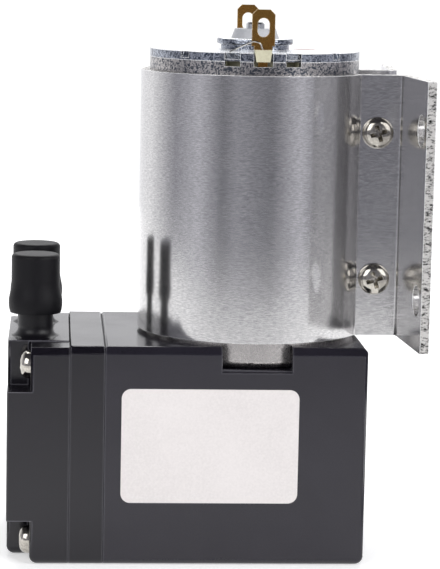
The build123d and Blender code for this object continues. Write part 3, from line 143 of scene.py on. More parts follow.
# ---- Finishes ----
@dataclass
class Surface:
    """A material's tree while it is being built, with its shader and texture coordinates."""

    tree: NodeTree
    shader: Node
    coords: Node

    def maths(self, operation: str, *values: Any) -> NodeSocket:
        """Reckon with numbers and sockets.

        Args:
            operation: The node's operation.
            *values: What it works on, in order.

        Returns:
            The result's socket.
        """
        node = add(self.tree, "ShaderNodeMath", dict(enumerate(values)), operation=operation)
        return node.outputs[0]

    def along(self, kind: str, axis: str) -> NodeSocket:
        """One axis of the object's coordinates or of its normal.

        Args:
            kind: "Object" or "Normal".
            axis: "X", "Y" or "Z".

        Returns:
            The value's socket.
        """
        parts = add(self.tree, "ShaderNodeSeparateXYZ", {"Vector": self.coords.outputs[kind]})
        return parts.outputs[axis]

    def noise(self, size_mm: Point, **inputs: float) -> NodeSocket:
        """Noise whose spots have a size.

        Args:
            size_mm: Their size along X, Y and Z.
            **inputs: Other values of the noise.

        Returns:
            The noise's value socket.
        """
        placed = add(self.tree, "ShaderNodeMapping",
                     {"Vector": self.coords.outputs["Object"],
                      "Scale": tuple(1 / (size * MM) for size in size_mm)})
        node = add(self.tree, "ShaderNodeTexNoise",
                   {"Vector": placed.outputs["Vector"], "Scale": 1.0, **inputs})
        return node.outputs["Fac"]

    def span(self, value: NodeSocket, low: float, high: float,
             given: Pair = NOISE_SPAN) -> NodeSocket:
        """Map a stretch of values to a range.

        Args:
            value: The value, such as a noise.
            low: The result at the stretch's start.
            high: The result at its end.
            given: Where the stretch starts and ends.

        Returns:
            The mapped socket.
        """
        node = add(self.tree, "ShaderNodeMapRange",
                   {"Value": value, "From Min": given[0], "From Max": given[1],
                    "To Min": low, "To Max": high})
        return node.outputs["Result"]

    def blend(self, factor: NodeSocket, first: Any, second: Any) -> NodeSocket:
        """Mix two numbers or sockets, where the factor is the second one's share."""
        node = add(self.tree, "ShaderNodeMix", {0: factor, 2: first, 3: second},
                   data_type="FLOAT")
        return node.outputs[0]

    def mixed(self, factor: NodeSocket, first: Any, second: Any) -> NodeSocket:
        """Mix two colours, each a hex value or a socket.

        Args:
            factor: Share of the second colour.
            first: Colour at 0.
            second: Colour at 1.

        Returns:
            The mixed colour's socket.
        """
        pair = [linear(c) if isinstance(c, str) else c for c in (first, second)]
        node = add(self.tree, "ShaderNodeMix", {0: factor, 6: pair[0], 7: pair[1]},
                   data_type="RGBA")
        return node.outputs[2]

    def feed(self, name: str, value: NodeSocket) -> None:
        """Link a value to one of the shader's inputs."""
        self.tree.links.new(value, self.shader.inputs[name])


@dataclass(frozen=True)
class Finish:
    """One real finish: a colour with a grain that also shifts the gloss and the relief."""

    name: str
    colour: str
    tint: str
    roughness: float
    spread: float = 0.06
    metallic: float = 0.0
    ior: float = 1.5
    grain_mm: Point = (0.3, 0.3, 0.3)
    relief_mm: float = 0.01
    cloud_mm: float = 9.0
    edge_mm: float = 0.0
    sheen: float = 0.0
    sheen_roughness: float = 0.4
    specular: float = 0.5
    # Reach, colour and metal of the edge colour: a painted highlight on most finishes, wear on
    # brass.
    wear_and_highlight_mm: float = 0.18
    edge_colour: str = ""
    edge_metal: float = 0.25

    def build(self) -> Material:
        """Make the material.

        Returns:
            The finished material.
        """
        material = bpy.data.materials.new(self.name)
        material.use_nodes = True
        tree = material.node_tree
        tree.nodes.clear()
        shader = add(tree, "ShaderNodeBsdfPrincipled", {"Metallic": self.metallic})
        # Metals keep the default index of refraction and specular level.
        if self.metallic == 0.0:
            shader.inputs["IOR"].default_value = self.ior
            shader.inputs["Specular IOR Level"].default_value = self.specular
        if self.sheen:
            shader.inputs["Sheen Weight"].default_value = self.sheen
            shader.inputs["Sheen Roughness"].default_value = self.sheen_roughness
        surface = Surface(tree, shader, add(tree, "ShaderNodeTexCoord"))
        self.pattern(surface)
        # Sharp edges take the edge colour: a painted highlight, except on brass where it is wear.
        if self.edge_colour:
            self.edge_wear_and_highlight(surface)
        add(tree, "ShaderNodeOutputMaterial", {"Surface": shader.outputs["BSDF"]})
        return material

    def edge_wear_and_highlight(self, surface: Surface) -> None:
        """Lay the edge colour on the sharp edges: a painted highlight on the sheet, the can, the
        end plate and the moulded plastic, and wear through the tarnish on brass.

        Args:
            surface: The surface that is being built.
        """
        tree, inputs = surface.tree, surface.shader.inputs
        rounded = add(tree, "ShaderNodeBevel", {"Radius": self.wear_and_highlight_mm * MM}, samples=6)
        flat = add(tree, "ShaderNodeNewGeometry")
        along = add(tree, "ShaderNodeVectorMath",
                    {0: rounded.outputs["Normal"], 1: flat.outputs["Normal"]},
                    operation="DOT_PRODUCT")
        # Share of edge colour: painted highlight, and wear on brass.
        worn_and_lit = surface.span(along.outputs["Value"], 1.0, 0.0, WEAR_AND_HIGHLIGHT_SPAN)
        colour = inputs["Base Color"].links[0].from_socket
        surface.feed("Base Color", surface.mixed(worn_and_lit, colour, self.edge_colour))
        if self.metallic:
            held = inputs["Metallic"].links
            metal = held[0].from_socket if held else self.metallic
            surface.feed("Metallic", surface.blend(worn_and_lit, metal, self.edge_metal))

    def gloss(self, surface: Surface, value: NodeSocket, given: Pair) -> NodeSocket:
        """Let a stretch of values move the roughness to both sides of its mean."""
        return surface.span(value, self.roughness - self.spread,
                            self.roughness + self.spread, given)

    def relief(self, surface: Surface, height: NodeSocket) -> None:
        """Give the surface its relief, over softly rounded edges where the finish has them.

        Args:
            surface: The surface that is being built.
            height: The relief's height, from 0 to 1.
        """
        bump = add(surface.tree, "ShaderNodeBump",
                   {"Height": height, "Distance": self.relief_mm * MM, "Strength": 1.0})
        if self.edge_mm:
            edges = add(surface.tree, "ShaderNodeBevel", {"Radius": self.edge_mm * MM},
                        samples=4)
            surface.tree.links.new(edges.outputs["Normal"], bump.inputs["Normal"])
        surface.feed("Normal", bump.outputs["Normal"])

    def clouded(self, surface: Surface, grain: NodeSocket) -> NodeSocket:
        """Weaken a grain here and there, as no surface is quite even."""
        return surface.maths("MULTIPLY", grain, surface.noise((self.cloud_mm,) * 3, Detail=2.0))

    def pattern(self, surface: Surface) -> None:
        """Lay the grain over colour, gloss and relief.

        Args:
            surface: The surface that is being built.
        """
        grain = surface.noise(self.grain_mm, Detail=3.0)
        both = self.clouded(surface, grain)
        share = surface.span(both, 0.0, 1.0, PRODUCT_SPAN)
        surface.feed("Base Color", surface.mixed(share, self.colour, self.tint))
        surface.feed("Roughness", self.gloss(surface, both, PRODUCT_SPAN))
        self.relief(surface, grain)


@dataclass(frozen=True)
class BrushedSheet(Finish):
    """Aluminium sheet brushed along its length and cut in a press, with rough cut faces."""

    cut_colour: str = "#d5d3d0"
    cut_speck: str = "#1f1e1e"
    cut_roughness: float = 0.5
    cut_facing: float = 0.9
    tear_mm: Point = (0.8, 0.8, 0.3)
    tear_span: Pair = (0.47, 0.62)
    tear_roughness: float = 0.7
    tear_depth: float = 20.0
    flange_y_mm: float = 27.8

    def cut(self, surface: Surface) -> NodeSocket:
        """Find the cut faces, which look up, down, or along Y at the flanges' ends.

        Args:
            surface: The surface that is being built.

        Returns:
            A socket that gives 1 on them and 0 elsewhere.
        """
        up = surface.maths("ABSOLUTE", surface.along("Normal", "Z"))
        side = surface.maths("ABSOLUTE", surface.along("Normal", "Y"))
        away = surface.maths("ABSOLUTE", surface.along("Object", "Y"))
        outside = surface.maths("GREATER_THAN", away, self.flange_y_mm * MM)
        end = surface.maths("MULTIPLY", side, outside)
        return surface.maths("GREATER_THAN", surface.maths("MAXIMUM", up, end), self.cut_facing)

    def pattern(self, surface: Surface) -> None:
        """Lay fine lines along the sheet, and torn metal on its cut faces.

        Args:
            surface: The surface that is being built.
        """
        lines = surface.noise(self.grain_mm, Detail=4.0)
        torn = surface.noise(self.tear_mm, Detail=4.0, Roughness=self.tear_roughness)
        cut = self.cut(surface)
        specks = surface.mixed(surface.span(torn, 0.0, 1.0, self.tear_span),
                               self.cut_colour, self.cut_speck)
        sheet = surface.mixed(surface.span(lines, 0.0, 1.0), self.colour, self.tint)
        surface.feed("Base Color", surface.mixed(cut, sheet, specks))
        gloss = self.gloss(surface, self.clouded(surface, lines), PRODUCT_SPAN)
        surface.feed("Roughness", surface.blend(cut, gloss, self.cut_roughness))
        deep = surface.maths("MULTIPLY", torn, self.tear_depth)
        self.relief(surface, surface.blend(cut, lines, deep))


@dataclass(frozen=True)
class Spangled(Finish):
    """Zinc on steel: flat crystals of slightly different brightness, with a painted highlight on
    faces that look up where a finish sets one.
    """

    spangle_mm: float = 0.42
    spangle_span: Pair = (0.46, 0.56)
    gloss_span: Pair = (0.35, 0.65)
    curl: float = 1.5
    painted_top_highlight: str = ""
    painted_top_share: float = 0.9
    painted_top_span: Pair = (0.85, 0.95)
    calm_below_mm: float = 0.0
    calm_until_mm: float = 84.0
    calm_share: float = 0.1
    paint: str = ""
    paint_at_mm: Point = (0.0, 0.0, 0.0)
    paint_reach_mm: float = 1.0
    paint_span: Pair = (1.3, 1.6)

    def dab(self, surface: Surface, grain: NodeSocket) -> NodeSocket:
        """Place the dab of marking paint, whose rim is made ragged by the grain.

        Args:
            surface: The surface that is being built.
            grain: The grain's value.

        Returns:
            A socket that gives 1 inside the dab and 0 outside it.
        """
        away = add(surface.tree, "ShaderNodeVectorMath",
                   {0: surface.coords.outputs["Object"],
                    1: tuple(v * MM for v in self.paint_at_mm)}, operation="DISTANCE")
        reach = self.paint_reach_mm * MM
        ragged = surface.maths("MULTIPLY_ADD", grain, reach, away.outputs["Value"])
        inner, outer = self.paint_span
        return surface.span(ragged, 1.0, 0.0, (reach * inner, reach * outer))

    def pattern(self, surface: Surface) -> None:
        """Lay crystals over a fine grain, a painted highlight on the faces that look up, and a
        dab of paint, where the finish has them.

        Args:
            surface: The surface that is being built.
        """
        grain = surface.noise(self.grain_mm, Detail=3.0)
        crystals = surface.noise((self.spangle_mm,) * 3, Detail=2.0, Distortion=self.curl)
        share = surface.span(crystals, 0.0, 1.0, self.spangle_span)
        if self.calm_below_mm:
            # The deep-drawn wall below has its crystals rubbed flat by the die.
            calm = surface.span(surface.along("Object", "Z"), self.calm_share, 1.0,
                                (self.calm_below_mm * MM, self.calm_until_mm * MM))
            share = surface.maths("MULTIPLY", share, calm)
        colour = surface.mixed(share, self.colour, self.tint)
        # Faces that look up are lightened to a near white: a painted highlight, not the zinc's
        # colour.
        if self.painted_top_highlight:
            top_highlight_mask = surface.span(surface.along("Normal", "Z"), 0.0, self.painted_top_share,
                                  self.painted_top_span)
            colour = surface.mixed(top_highlight_mask, colour, self.painted_top_highlight)
        if self.paint:
            dab = self.dab(surface, grain)
            colour = surface.mixed(dab, colour, self.paint)
            surface.feed("Metallic", surface.span(dab, 1.0, 0.0, WHOLE_SPAN))
        surface.feed("Base Color", colour)
        surface.feed("Roughness", self.gloss(surface, crystals, self.gloss_span))
        self.relief(surface, grain)


@dataclass(frozen=True)
class Laminated(Finish):
    """A stack of thin stampings: fine dark lines round the stack."""

    sheet_mm: float = 0.5
    waviness: float = 0.3

    def pattern(self, surface: Surface) -> None:
        """Draw the lines between the sheets.

        Args:
            surface: The surface that is being built.
        """
        # At scale 1 the wave turns 20 radians in a unit, so this scale gives a line a sheet.
        wave = add(surface.tree, "ShaderNodeTexWave",
                   {"Vector": surface.coords.outputs["Object"],
                    "Scale": math.pi / 10 / (self.sheet_mm * MM),
                    "Distortion": self.waviness}, bands_direction="Z")
        height = wave.outputs["Fac"]
        surface.feed("Base Color", surface.mixed(height, self.tint, self.colour))
        surface.feed("Roughness", surface.span(height, self.roughness + self.spread,
                                               self.roughness - self.spread, WHOLE_SPAN))
        self.relief(surface, height)


class Finishes:
    """Every finish of the pump, each built once when it is first asked for."""

    # Glass-filled nylon from a fine-textured mould: charcoal, with a soft wide gloss. Its pale
    # edge colour is a painted highlight on the rounded edges.
    HOUSING = Finish("moulded_nylon_charcoal", "#1e1c24", "#25232b", 0.2, 0.04, ior=1.5,
                     grain_mm=(0.22, 0.22, 0.22), relief_mm=0.006, edge_mm=0.1,
                     wear_and_highlight_mm=0.4, edge_colour="#605f65")
    # The same plastic on the head, which is slightly darker and glossier, with the same painted
    # edge highlight.
    HEAD = Finish("moulded_nylon_head", "#100e15", "#17151c", 0.18, 0.04, ior=1.5,
                  grain_mm=(0.22, 0.22, 0.22), relief_mm=0.006, edge_mm=0.1, wear_and_highlight_mm=0.4,
                  edge_colour="#605f65")
    # Thin walls of the same plastic, drawn from a blasted core: duller.
    NOZZLE = Finish("moulded_nylon_nozzle", "#0e0d11", "#141317", 0.36, 0.05, ior=1.5,
                    grain_mm=(0.22, 0.22, 0.22), relief_mm=0.006, specular=0.3)
    # EPDM rubber, moulded: near black, matt, a little dust in its skin.
    CAP = Finish("epdm_rubber_black", "#08070b", "#0e0d12", 0.52, 0.06, ior=1.5,
                 grain_mm=(0.5, 0.5, 0.5), relief_mm=0.02, specular=0.2)
    VALVE = Finish("silicone_valve_rubber", "#7d7d78", "#8d8d88", 0.55, ior=1.41,
                   grain_mm=(0.4, 0.4, 0.4), relief_mm=0.01, sheen=0.1)
    # Mill-finish aluminium sheet, brushed along its length: soft streaks across the lines. Its
    # white, less metallic edges are a painted highlight.
    SHEET = BrushedSheet("brushed_aluminium_sheet", "#e1e0df", "#bab9ba", 0.155, 0.02, 0.96,
                         grain_mm=(0.7, 0.7, 0.15), relief_mm=0.0015, cloud_mm=6.0,
                         edge_mm=0.12, wear_and_highlight_mm=0.22, edge_colour="#ffffff")
    # Galvanised deep-drawn steel: bluish crystals. Its white, less metallic edges are a painted
    # highlight.
    CAN = Spangled("galvanised_steel", "#bdb9b7", "#454b55", 0.28, 0.05, 1.0,
                   grain_mm=(0.12, 0.12, 0.12), relief_mm=0.004, edge_mm=0.12,
                   edge_colour="#ffffff", curl=1.2, calm_below_mm=36.0)
    # The end plate: the same zinc, with white painted highlights on its edges and on the faces
    # that look up.
    PLATE = Spangled("galvanised_end_plate", "#b3b8c2", "#3f4653", 0.24, 0.06, 1.0,
                     grain_mm=(0.12, 0.12, 0.12), relief_mm=0.004, edge_mm=0.12,
                     edge_colour="#ffffff", painted_top_highlight="#f6f7f8",
                     paint="#9c3d33", paint_at_mm=(8.8, 3.0, 85.6), paint_reach_mm=2.2)
    # Nickel over steel, barrel plated: bright and slightly yellow.
    SCREW = Finish("nickel_plated_screw", "#d2cec5", "#a09b93", 0.13, 0.05, 1.0,
                   grain_mm=(0.3, 0.3, 0.3), relief_mm=0.006, edge_mm=0.08)
    BEARING = Finish("hardened_bearing_steel", "#c8cacc", "#b4b6b9", 0.12, 0.04, 1.0,
                     grain_mm=(2.0, 2.0, 0.08), relief_mm=0.0008)
    # Ground shaft: fine rings round it.
    SHAFT = Finish("ground_steel_shaft", "#cfd1d3", "#b5b7ba", 0.18, 0.06, 1.0,
                   grain_mm=(2.0, 2.0, 0.08), relief_mm=0.001)
    # Stamped brass, handled and a little tarnished.
    BRASS = Finish("stamped_brass", "#b98d4a", "#8a6232", 0.28, 0.08, 1.0,
                   grain_mm=(0.5, 0.5, 0.5), relief_mm=0.004, edge_mm=0.08,
                   wear_and_highlight_mm=0.16, edge_colour="#e6c88e", edge_metal=0.6)
    # Sintered bronze bush: open pores that hold oil.
    BRONZE = Finish("sintered_bronze", "#96744a", "#5e4429", 0.42, 0.1, 1.0,
                    grain_mm=(0.12, 0.12, 0.12), relief_mm=0.02)
    # Enamelled copper wire, wound side by side.
    COPPER = Finish("enamelled_copper_wire", "#a8562c", "#7c3a1c", 0.25, 0.06, 1.0,
                    grain_mm=(3.0, 3.0, 0.35), relief_mm=0.05)
    TINNED = Finish("tinned_copper_wire", "#c9c7c2", "#9d9b96", 0.25, 0.08, 1.0,
                    grain_mm=(0.2, 0.2, 0.2), relief_mm=0.004)
    COMMUTATOR = Finish("turned_copper_bars", "#b06a3e", "#7e4526", 0.3, 0.08, 1.0,
                        grain_mm=(2.0, 2.0, 0.1), relief_mm=0.002)
    # Polyamide insulator: ivory and faintly see-through, so soft at its edges.
    IVORY = Finish("ivory_polyamide", "#d6d2b8", "#c6c2a6", 0.4, 0.05, ior=1.53,
                   grain_mm=(0.4, 0.4, 0.4), relief_mm=0.005, edge_mm=0.1)
    GREY = Finish("grey_acetal_collar", "#bfc1c5", "#b0b2b6", 0.38, 0.05, ior=1.48,
                  grain_mm=(0.3, 0.3, 0.3), relief_mm=0.005, edge_mm=0.15)
    FERRITE = Finish("ferrite_magnet", "#3b3a3a", "#2a2929", 0.6, 0.08, ior=2.3,
                     grain_mm=(0.15, 0.15, 0.15), relief_mm=0.02)
    CORE = Laminated("laminated_steel_core", "#8d8f92", "#4c4e50", 0.38, 0.1, 1.0,
                     relief_mm=0.03)
    CARBON = Finish("carbon_brush", "#2c2c2e", "#3d3d40", 0.45, 0.08, ior=1.8,
                    grain_mm=(0.1, 0.1, 0.1), relief_mm=0.01)
    # Zinc die casting, tumbled: dull grey with a faint skin.
    CAST = Finish("zinc_die_casting", "#a2a4a6", "#85878a", 0.42, 0.08, 1.0,
                  grain_mm=(0.4, 0.4, 0.4), relief_mm=0.015, edge_mm=0.15)
    # Coated paper sticker: off-white, satin, with the crankcase's texture faintly through it.
    LABEL = Finish("coated_paper_label", "#e4dfdd", "#dad5d3", 0.5, 0.04, ior=1.45,
                   grain_mm=(0.35, 0.35, 0.35), relief_mm=0.004, cloud_mm=14.0)
    # Pale matt table top.
    FLOOR = Finish("pale_table", "#f4f4f4", "#f1f1f1", 0.8, 0.02, ior=1.45,
                   grain_mm=(3.0, 3.0, 3.0), relief_mm=0.001, cloud_mm=80.0)

    def __init__(self) -> None:
        """Start with nothing built."""
        self.built: dict[str, Material] = {}

    def get(self, finish: Finish) -> Material:
        """The material of a finish.

        Args:
            finish: One of the finishes above.

        Returns:
            Its material.
        """
        if finish.name not in self.built:
            self.built[finish.name] = finish.build()
        return self.built[finish.name]

    def dress(self, nodes: dict[str, Object], finish: Finish, *names: str) -> None:
        """Give CAD nodes a finish.

        Args:
            nodes: The frame's nodes.
            finish: What they get.
            *names: Which nodes.
        """
        for name in names:
            slots = nodes[name].material_slots
            if not slots:
                nodes[name].data.materials.append(self.get(finish))
            for place in slots:
                place.material = self.get(finish)
            LOG.info("dressed %s in %s", name, finish.name)


# ---- Meshes ----
def new_piece(name: str, mesh: Mesh) -> Object:
    """Put a mesh in the scene under its piece's name.

    Args:
        name: The piece's name.
        mesh: Its mesh, already in place.

    Returns:
        The new object at the origin.
    """
    piece = bpy.data.objects.new(name, mesh)
    bpy.context.scene.collection.objects.link(piece)
    return piece


def shaded(mesh: Mesh) -> Mesh:
    """Smooth a mesh except at its clearly bent edges.

    Args:
        mesh: The mesh, which is changed.

    Returns:
        The same mesh.
    """
    mesh.shade_smooth()
    mesh.set_sharp_from_angle(angle=math.radians(SMOOTH_BELOW_DEG))
    return mesh


def kept(shape: BMesh, name: str) -> Mesh:
    """Keep a shape as a mesh and free it.

    Args:
        shape: The shape that was being edited.
        name: The mesh's name.

    Returns:
        The new mesh.
    """
    mesh = bpy.data.meshes.new(name)
    shape.to_mesh(mesh)
    shape.free()
    return mesh


def spun(name: str, profile: Sequence[Pair], segments: int) -> Mesh:
    """Turn a profile about Z.

    Args:
        name: The mesh's name.
        profile: (radius, z) points in metres; a radius of 0 closes the shape.
        segments: How many steps round.

    Returns:
        A closed mesh with its faces outwards.
    """
    shape = bmesh.new()
    rings: list[list[BMVert]] = []
    for radius, z in profile:
        if radius == 0:
            rings.append([shape.verts.new((0, 0, z))])
            continue
        turns = [2 * math.pi * i / segments for i in range(segments)]
        rings.append([shape.verts.new((radius * math.cos(t), radius * math.sin(t), z))
                      for t in turns])
    for first, second in zip(rings, rings[1:]):
        for i in range(segments):
            j = (i + 1) % segments
            corners = [first[i % len(first)], first[j % len(first)],
                       second[j % len(second)], second[i % len(second)]]
            unique = list(dict.fromkeys(corners))
            shape.faces.new(unique)
    bmesh.ops.recalc_face_normals(shape, faces=shape.faces)
    return kept(shape, name)


def evaluated(piece: Object, name: str) -> Mesh:
    """The plain mesh of an object with its modifiers applied.

    Args:
        piece: The object.
        name: The new mesh's name.

    Returns:
        A copy of the evaluated mesh.
    """
    graph = bpy.context.evaluated_depsgraph_get()
    mesh = bpy.data.meshes.new_from_object(piece.evaluated_get(graph), depsgraph=graph)
    mesh.name = name
    return mesh


@dataclass(frozen=True)
class Softening:
    """How the sharp edges of a moulded block are rounded."""

    radius_mm: float = 0.12
    steps: int = 2
    shortest_mm: float = 1.2
    foot_mm: float = 1.5
    foot_steps: int = 10
    weld_mm: float = 0.001
    touch_mm: float = 0.01
    flat_deg: float = 0.5
    bent_deg: float = 40.0
    flat_weight: int = 100

    def level(self, edge: BMEdge, axis: int) -> bool:
        """Whether both ends of an edge lie at one place along an axis."""
        first, second = edge.verts
        return abs(first.co[axis] - second.co[axis]) < self.touch_mm * MM

    def below(self, edge: BMEdge, height_mm: float) -> bool:
        """Whether an edge lies no higher than a height."""
        return max(vert.co.z for vert in edge.verts) < (height_mm + self.touch_mm) * MM

    def rounds(self, edge: BMEdge) -> bool:
        """Whether an edge is rounded.

        These are the long edges, and the foot's arcs at a joint. The other short edges belong
        to holes and fillets.

        Args:
            edge: One edge of the block.

        Returns:
            True for a sharp edge of that kind.
        """
        if not edge.is_manifold or edge.calc_face_angle() <= math.radians(self.bent_deg):
            return False
        arc = self.level(edge, 0) and self.below(edge, self.foot_mm)
        return arc or edge.calc_length() > self.shortest_mm * MM

    def shape(self, source: Object, bare_foot: bool) -> BMesh:
        """The block's shape, with the edges that are rounded marked by their weight.

        Args:
            source: The CAD node's object.
            bare_foot: Whether the node's foot is still sharp along X, and is rounded here.

        Returns:
            The marked shape.
        """
        shape = bmesh.new()
        shape.from_mesh(source.data)
        bmesh.ops.remove_doubles(shape, verts=shape.verts, dist=self.weld_mm * MM)
        bmesh.ops.dissolve_limit(shape, angle_limit=math.radians(self.flat_deg),
                                 verts=shape.verts, edges=shape.edges)
        if bare_foot:
            foot = [edge for edge in shape.edges
                    if edge.is_manifold and self.below(edge, 0.0) and self.level(edge, 1)]
            bmesh.ops.bevel(shape, geom=foot, offset=self.foot_mm * MM,
                            segments=self.foot_steps, profile=0.5, affect="EDGES")
        weight = shape.edges.layers.float.new("bevel_weight_edge")
        for edge in shape.edges:
            edge[weight] = float(self.rounds(edge))
        return shape

    def build(self, source: Object, name: str, finish: Material,
              bare_foot: bool = False) -> Object:
        """Make a copy of a CAD node with its sharp edges rounded.

        Args:
            source: The node's object.
            name: The piece's name.
            finish: The piece's material.
            bare_foot: Whether the node's foot is still sharp along X, and is rounded here.

        Returns:
            The new piece, which has a plain mesh.
        """
        carrier = new_piece(name + "_sharp", shaded(kept(self.shape(source, bare_foot), name)))
        edges = carrier.modifiers.new("edges", "BEVEL")
        edges.width, edges.segments = self.radius_mm * MM, self.steps
        edges.limit_method = "WEIGHT"
        edges.use_clamp_overlap = False
        # Flat faces keep flat shading beside their rounded edges.
        level = carrier.modifiers.new("level", "WEIGHTED_NORMAL")
        level.mode, level.weight, level.keep_sharp = "FACE_AREA", self.flat_weight, True
        mesh = evaluated(carrier, name)
        bpy.data.objects.remove(carrier)
        mesh.materials.clear()
        mesh.materials.append(finish)
        return new_piece(name, mesh)


class HeadStyle(Enum):
    """The head of a screw."""

    PAN = "domed, with a flat seat"
    COUNTERSUNK = "flat, with a conical seat"


@dataclass
class CrossScrew:
    """A screw with a cross recess. Its seat is at z = 0 and its shank runs down."""

    # The heads' outlines from the middle outwards, in shares of radius and height.
    DOME: ClassVar[Sequence[Pair]] = (
        (0.0, 1.0), (0.3, 0.99), (0.55, 0.94), (0.74, 0.84), (0.88, 0.67), (0.96, 0.46),
        (1.0, 0.22), (1.0, 0.0))
    FLAT: ClassVar[Sequence[Pair]] = ((0.0, 0.0), (0.6, 0.0), (0.97, 0.0))

    style: HeadStyle
    head_radius_mm: float
    head_height_mm: float
    shank_radius_mm: float
    length_mm: float
    recess_reach_mm: float
    recess_depth_mm: float
    arm_half_mm: float = 0.3
    pitch_mm: float = 0.5
    thread_depth_mm: float = 0.18
    thread_start_mm: float = 0.3
    rim_mm: float = 0.12
    undercut_mm: float = 0.05
    tip_share: float = 0.7
    recess_above_mm: float = 0.3
    recess_top_share: float = 1.12
    recess_floor_share: float = 0.45
    segments: int = 48

    def profile(self) -> list[Pair]:
        """The screw's outline from its top to its tip, in metres.

        Returns:
            (radius, z) points.
        """
        radius, height = self.head_radius_mm, self.head_height_mm
        shank = self.shank_radius_mm
        outline = self.DOME if self.style is HeadStyle.PAN else self.FLAT
        points = [(radius * across, height * up) for across, up in outline]
        if self.style is HeadStyle.COUNTERSUNK:
            points += [(radius, -self.rim_mm), (shank, shank - radius - self.rim_mm)]
        low = points[-1][1]
        root = shank - self.thread_depth_mm
        points.append((root, low - self.undercut_mm))
        z = low - self.thread_start_mm
        while z > -self.length_mm + self.pitch_mm:
            points += [(root, z), (shank, z - self.pitch_mm / 2)]
            z -= self.pitch_mm
        points += [(root, z), (root * self.tip_share, -self.length_mm), (0.0, -self.length_mm)]
        return [(r * MM, h * MM) for r, h in points]

    def cutter(self) -> Mesh:
        """The driver's tip: a cross that narrows downwards.

        Returns:
            A closed mesh.
        """
        top = self.head_height_mm if self.style is HeadStyle.PAN else 0.0
        reach, arm = self.recess_reach_mm, self.arm_half_mm
        outline = [(reach, -arm), (reach, arm), (arm, arm), (arm, reach), (-arm, reach),
                   (-arm, arm), (-reach, arm), (-reach, -arm), (-arm, -arm), (-arm, -reach),
                   (arm, -reach), (arm, -arm)]
        shape = bmesh.new()
        rings = []
        for scale, z in ((self.recess_top_share, top + self.recess_above_mm),
                         (self.recess_floor_share, top - self.recess_depth_mm)):
            rings.append([shape.verts.new((x * scale * MM, y * scale * MM, z * MM))
                          for x, y in outline])
        for i in range(len(outline)):
            j = (i + 1) % len(outline)
            shape.faces.new([rings[0][i], rings[0][j], rings[1][j], rings[1][i]])
        shape.faces.new(rings[0])
        shape.faces.new(rings[1])
        bmesh.ops.recalc_face_normals(shape, faces=shape.faces)
        return kept(shape, "driver_tip")

    def build(self, name: str) -> Object:
        """Make the screw with its recess cut.

        Args:
            name: The master screw's name.

        Returns:
            The screw at the origin, which isn't a piece itself.
        """
        screw = new_piece(name, spun(name, self.profile(), self.segments))
        tip = new_piece(name + "_tip", self.cutter())
        cut = screw.modifiers.new("recess", "BOOLEAN")
        cut.operation, cut.object, cut.solver = "DIFFERENCE", tip, "EXACT"
        mesh = evaluated(screw, name)
        for part in (screw, tip):
            bpy.data.objects.remove(part)
        return new_piece(name, shaded(mesh))


@dataclass
class ScrewPattern:
    """Screws at the corners of a rectangle, or in a line where one spacing has a single place."""

    count_a: int
    count_b: int
    spacing_a: float
    spacing_b: float
    place: Point
    turn: Point
    seed: int

    def tree(self) -> NodeTree:
        """The Geometry Nodes tree that repeats a screw.

        Returns:
            The tree, with named inputs for its sizes.
        """
        tree = bpy.data.node_groups.new("screw_pattern", "GeometryNodeTree")
        tree.is_modifier = True
        for name, kind in (("Screw", "NodeSocketObject"), ("Finish", "NodeSocketMaterial"),
                           ("Count A", "NodeSocketInt"), ("Count B", "NodeSocketInt"),
                           ("Spacing A", "NodeSocketFloat"), ("Spacing B", "NodeSocketFloat"),
                           ("Place", "NodeSocketVector"), ("Turn", "NodeSocketVector"),
                           ("Seed", "NodeSocketInt")):
            tree.interface.new_socket(name, in_out="INPUT", socket_type=kind)
        tree.interface.new_socket("Geometry", in_out="OUTPUT", socket_type="NodeSocketGeometry")
        given = add(tree, "NodeGroupInput").outputs
        grid = add(tree, "GeometryNodeMeshGrid",
                   {"Size X": given["Spacing A"], "Size Y": given["Spacing B"],
                    "Vertices X": given["Count A"], "Vertices Y": given["Count B"]})
        master = add(tree, "GeometryNodeObjectInfo", {"Object": given["Screw"]})
        spin = add(tree, "FunctionNodeRandomValue",
                   {"Min": (0.0, 0.0, 0.0), "Max": (0.0, 0.0, math.pi / 2),
                    "Seed": given["Seed"]}, data_type="FLOAT_VECTOR")
        # A turned screw stops where its thread is tight, so each recess lies differently.
        screws = add(tree, "GeometryNodeInstanceOnPoints",
                     {"Points": grid.outputs["Mesh"], "Instance": master.outputs["Geometry"],
                      "Rotation": spin.outputs["Value"]})
        placed = add(tree, "GeometryNodeTransform",
                     {"Geometry": screws.outputs["Instances"],
                      "Translation": given["Place"], "Rotation": given["Turn"]})
        real = add(tree, "GeometryNodeRealizeInstances", {"Geometry": placed.outputs["Geometry"]})
        dressed = add(tree, "GeometryNodeSetMaterial",
                      {"Geometry": real.outputs["Geometry"], "Material": given["Finish"]})
        add(tree, "NodeGroupOutput", {"Geometry": dressed.outputs["Geometry"]})
        return tree

    def build(self, name: str, screw: Object, finish: Material) -> Object:
        """Repeat a screw and keep the result as one plain mesh.

        Args:
            name: The piece's name.
            screw: The master screw, which is removed afterwards.
            finish: The screws' material.

        Returns:
            The new piece.
        """
        tree = self.tree()
        carrier = new_piece(name + "_carrier", bpy.data.meshes.new(name + "_carrier"))
        modifier = carrier.modifiers.new("pattern", "NODES")
        modifier.node_group = tree
        values = {"Screw": screw, "Finish": finish, "Count A": self.count_a,
                  "Count B": self.count_b, "Spacing A": self.spacing_a,
                  "Spacing B": self.spacing_b, "Place": self.place, "Turn": self.turn,
                  "Seed": self.seed}
        for item in tree.interface.items_tree:
            if item.in_out == "INPUT":
                modifier[item.identifier] = values[item.name]
        mesh = evaluated(carrier, name)
        for part in (carrier, screw):
            bpy.data.objects.remove(part)
        return new_piece(name, mesh)


def stands_for(piece: Object, node: str, body: str) -> None:
    """Let a piece ride on a body in place of a CAD node.

    Args:
        piece: The new piece.
        node: The node that it replaces.
        body: The body that carries it.
    """
    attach(piece, body)
    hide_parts(node)
    LOG.info("made %s for %s on %s", piece.name, node, body)


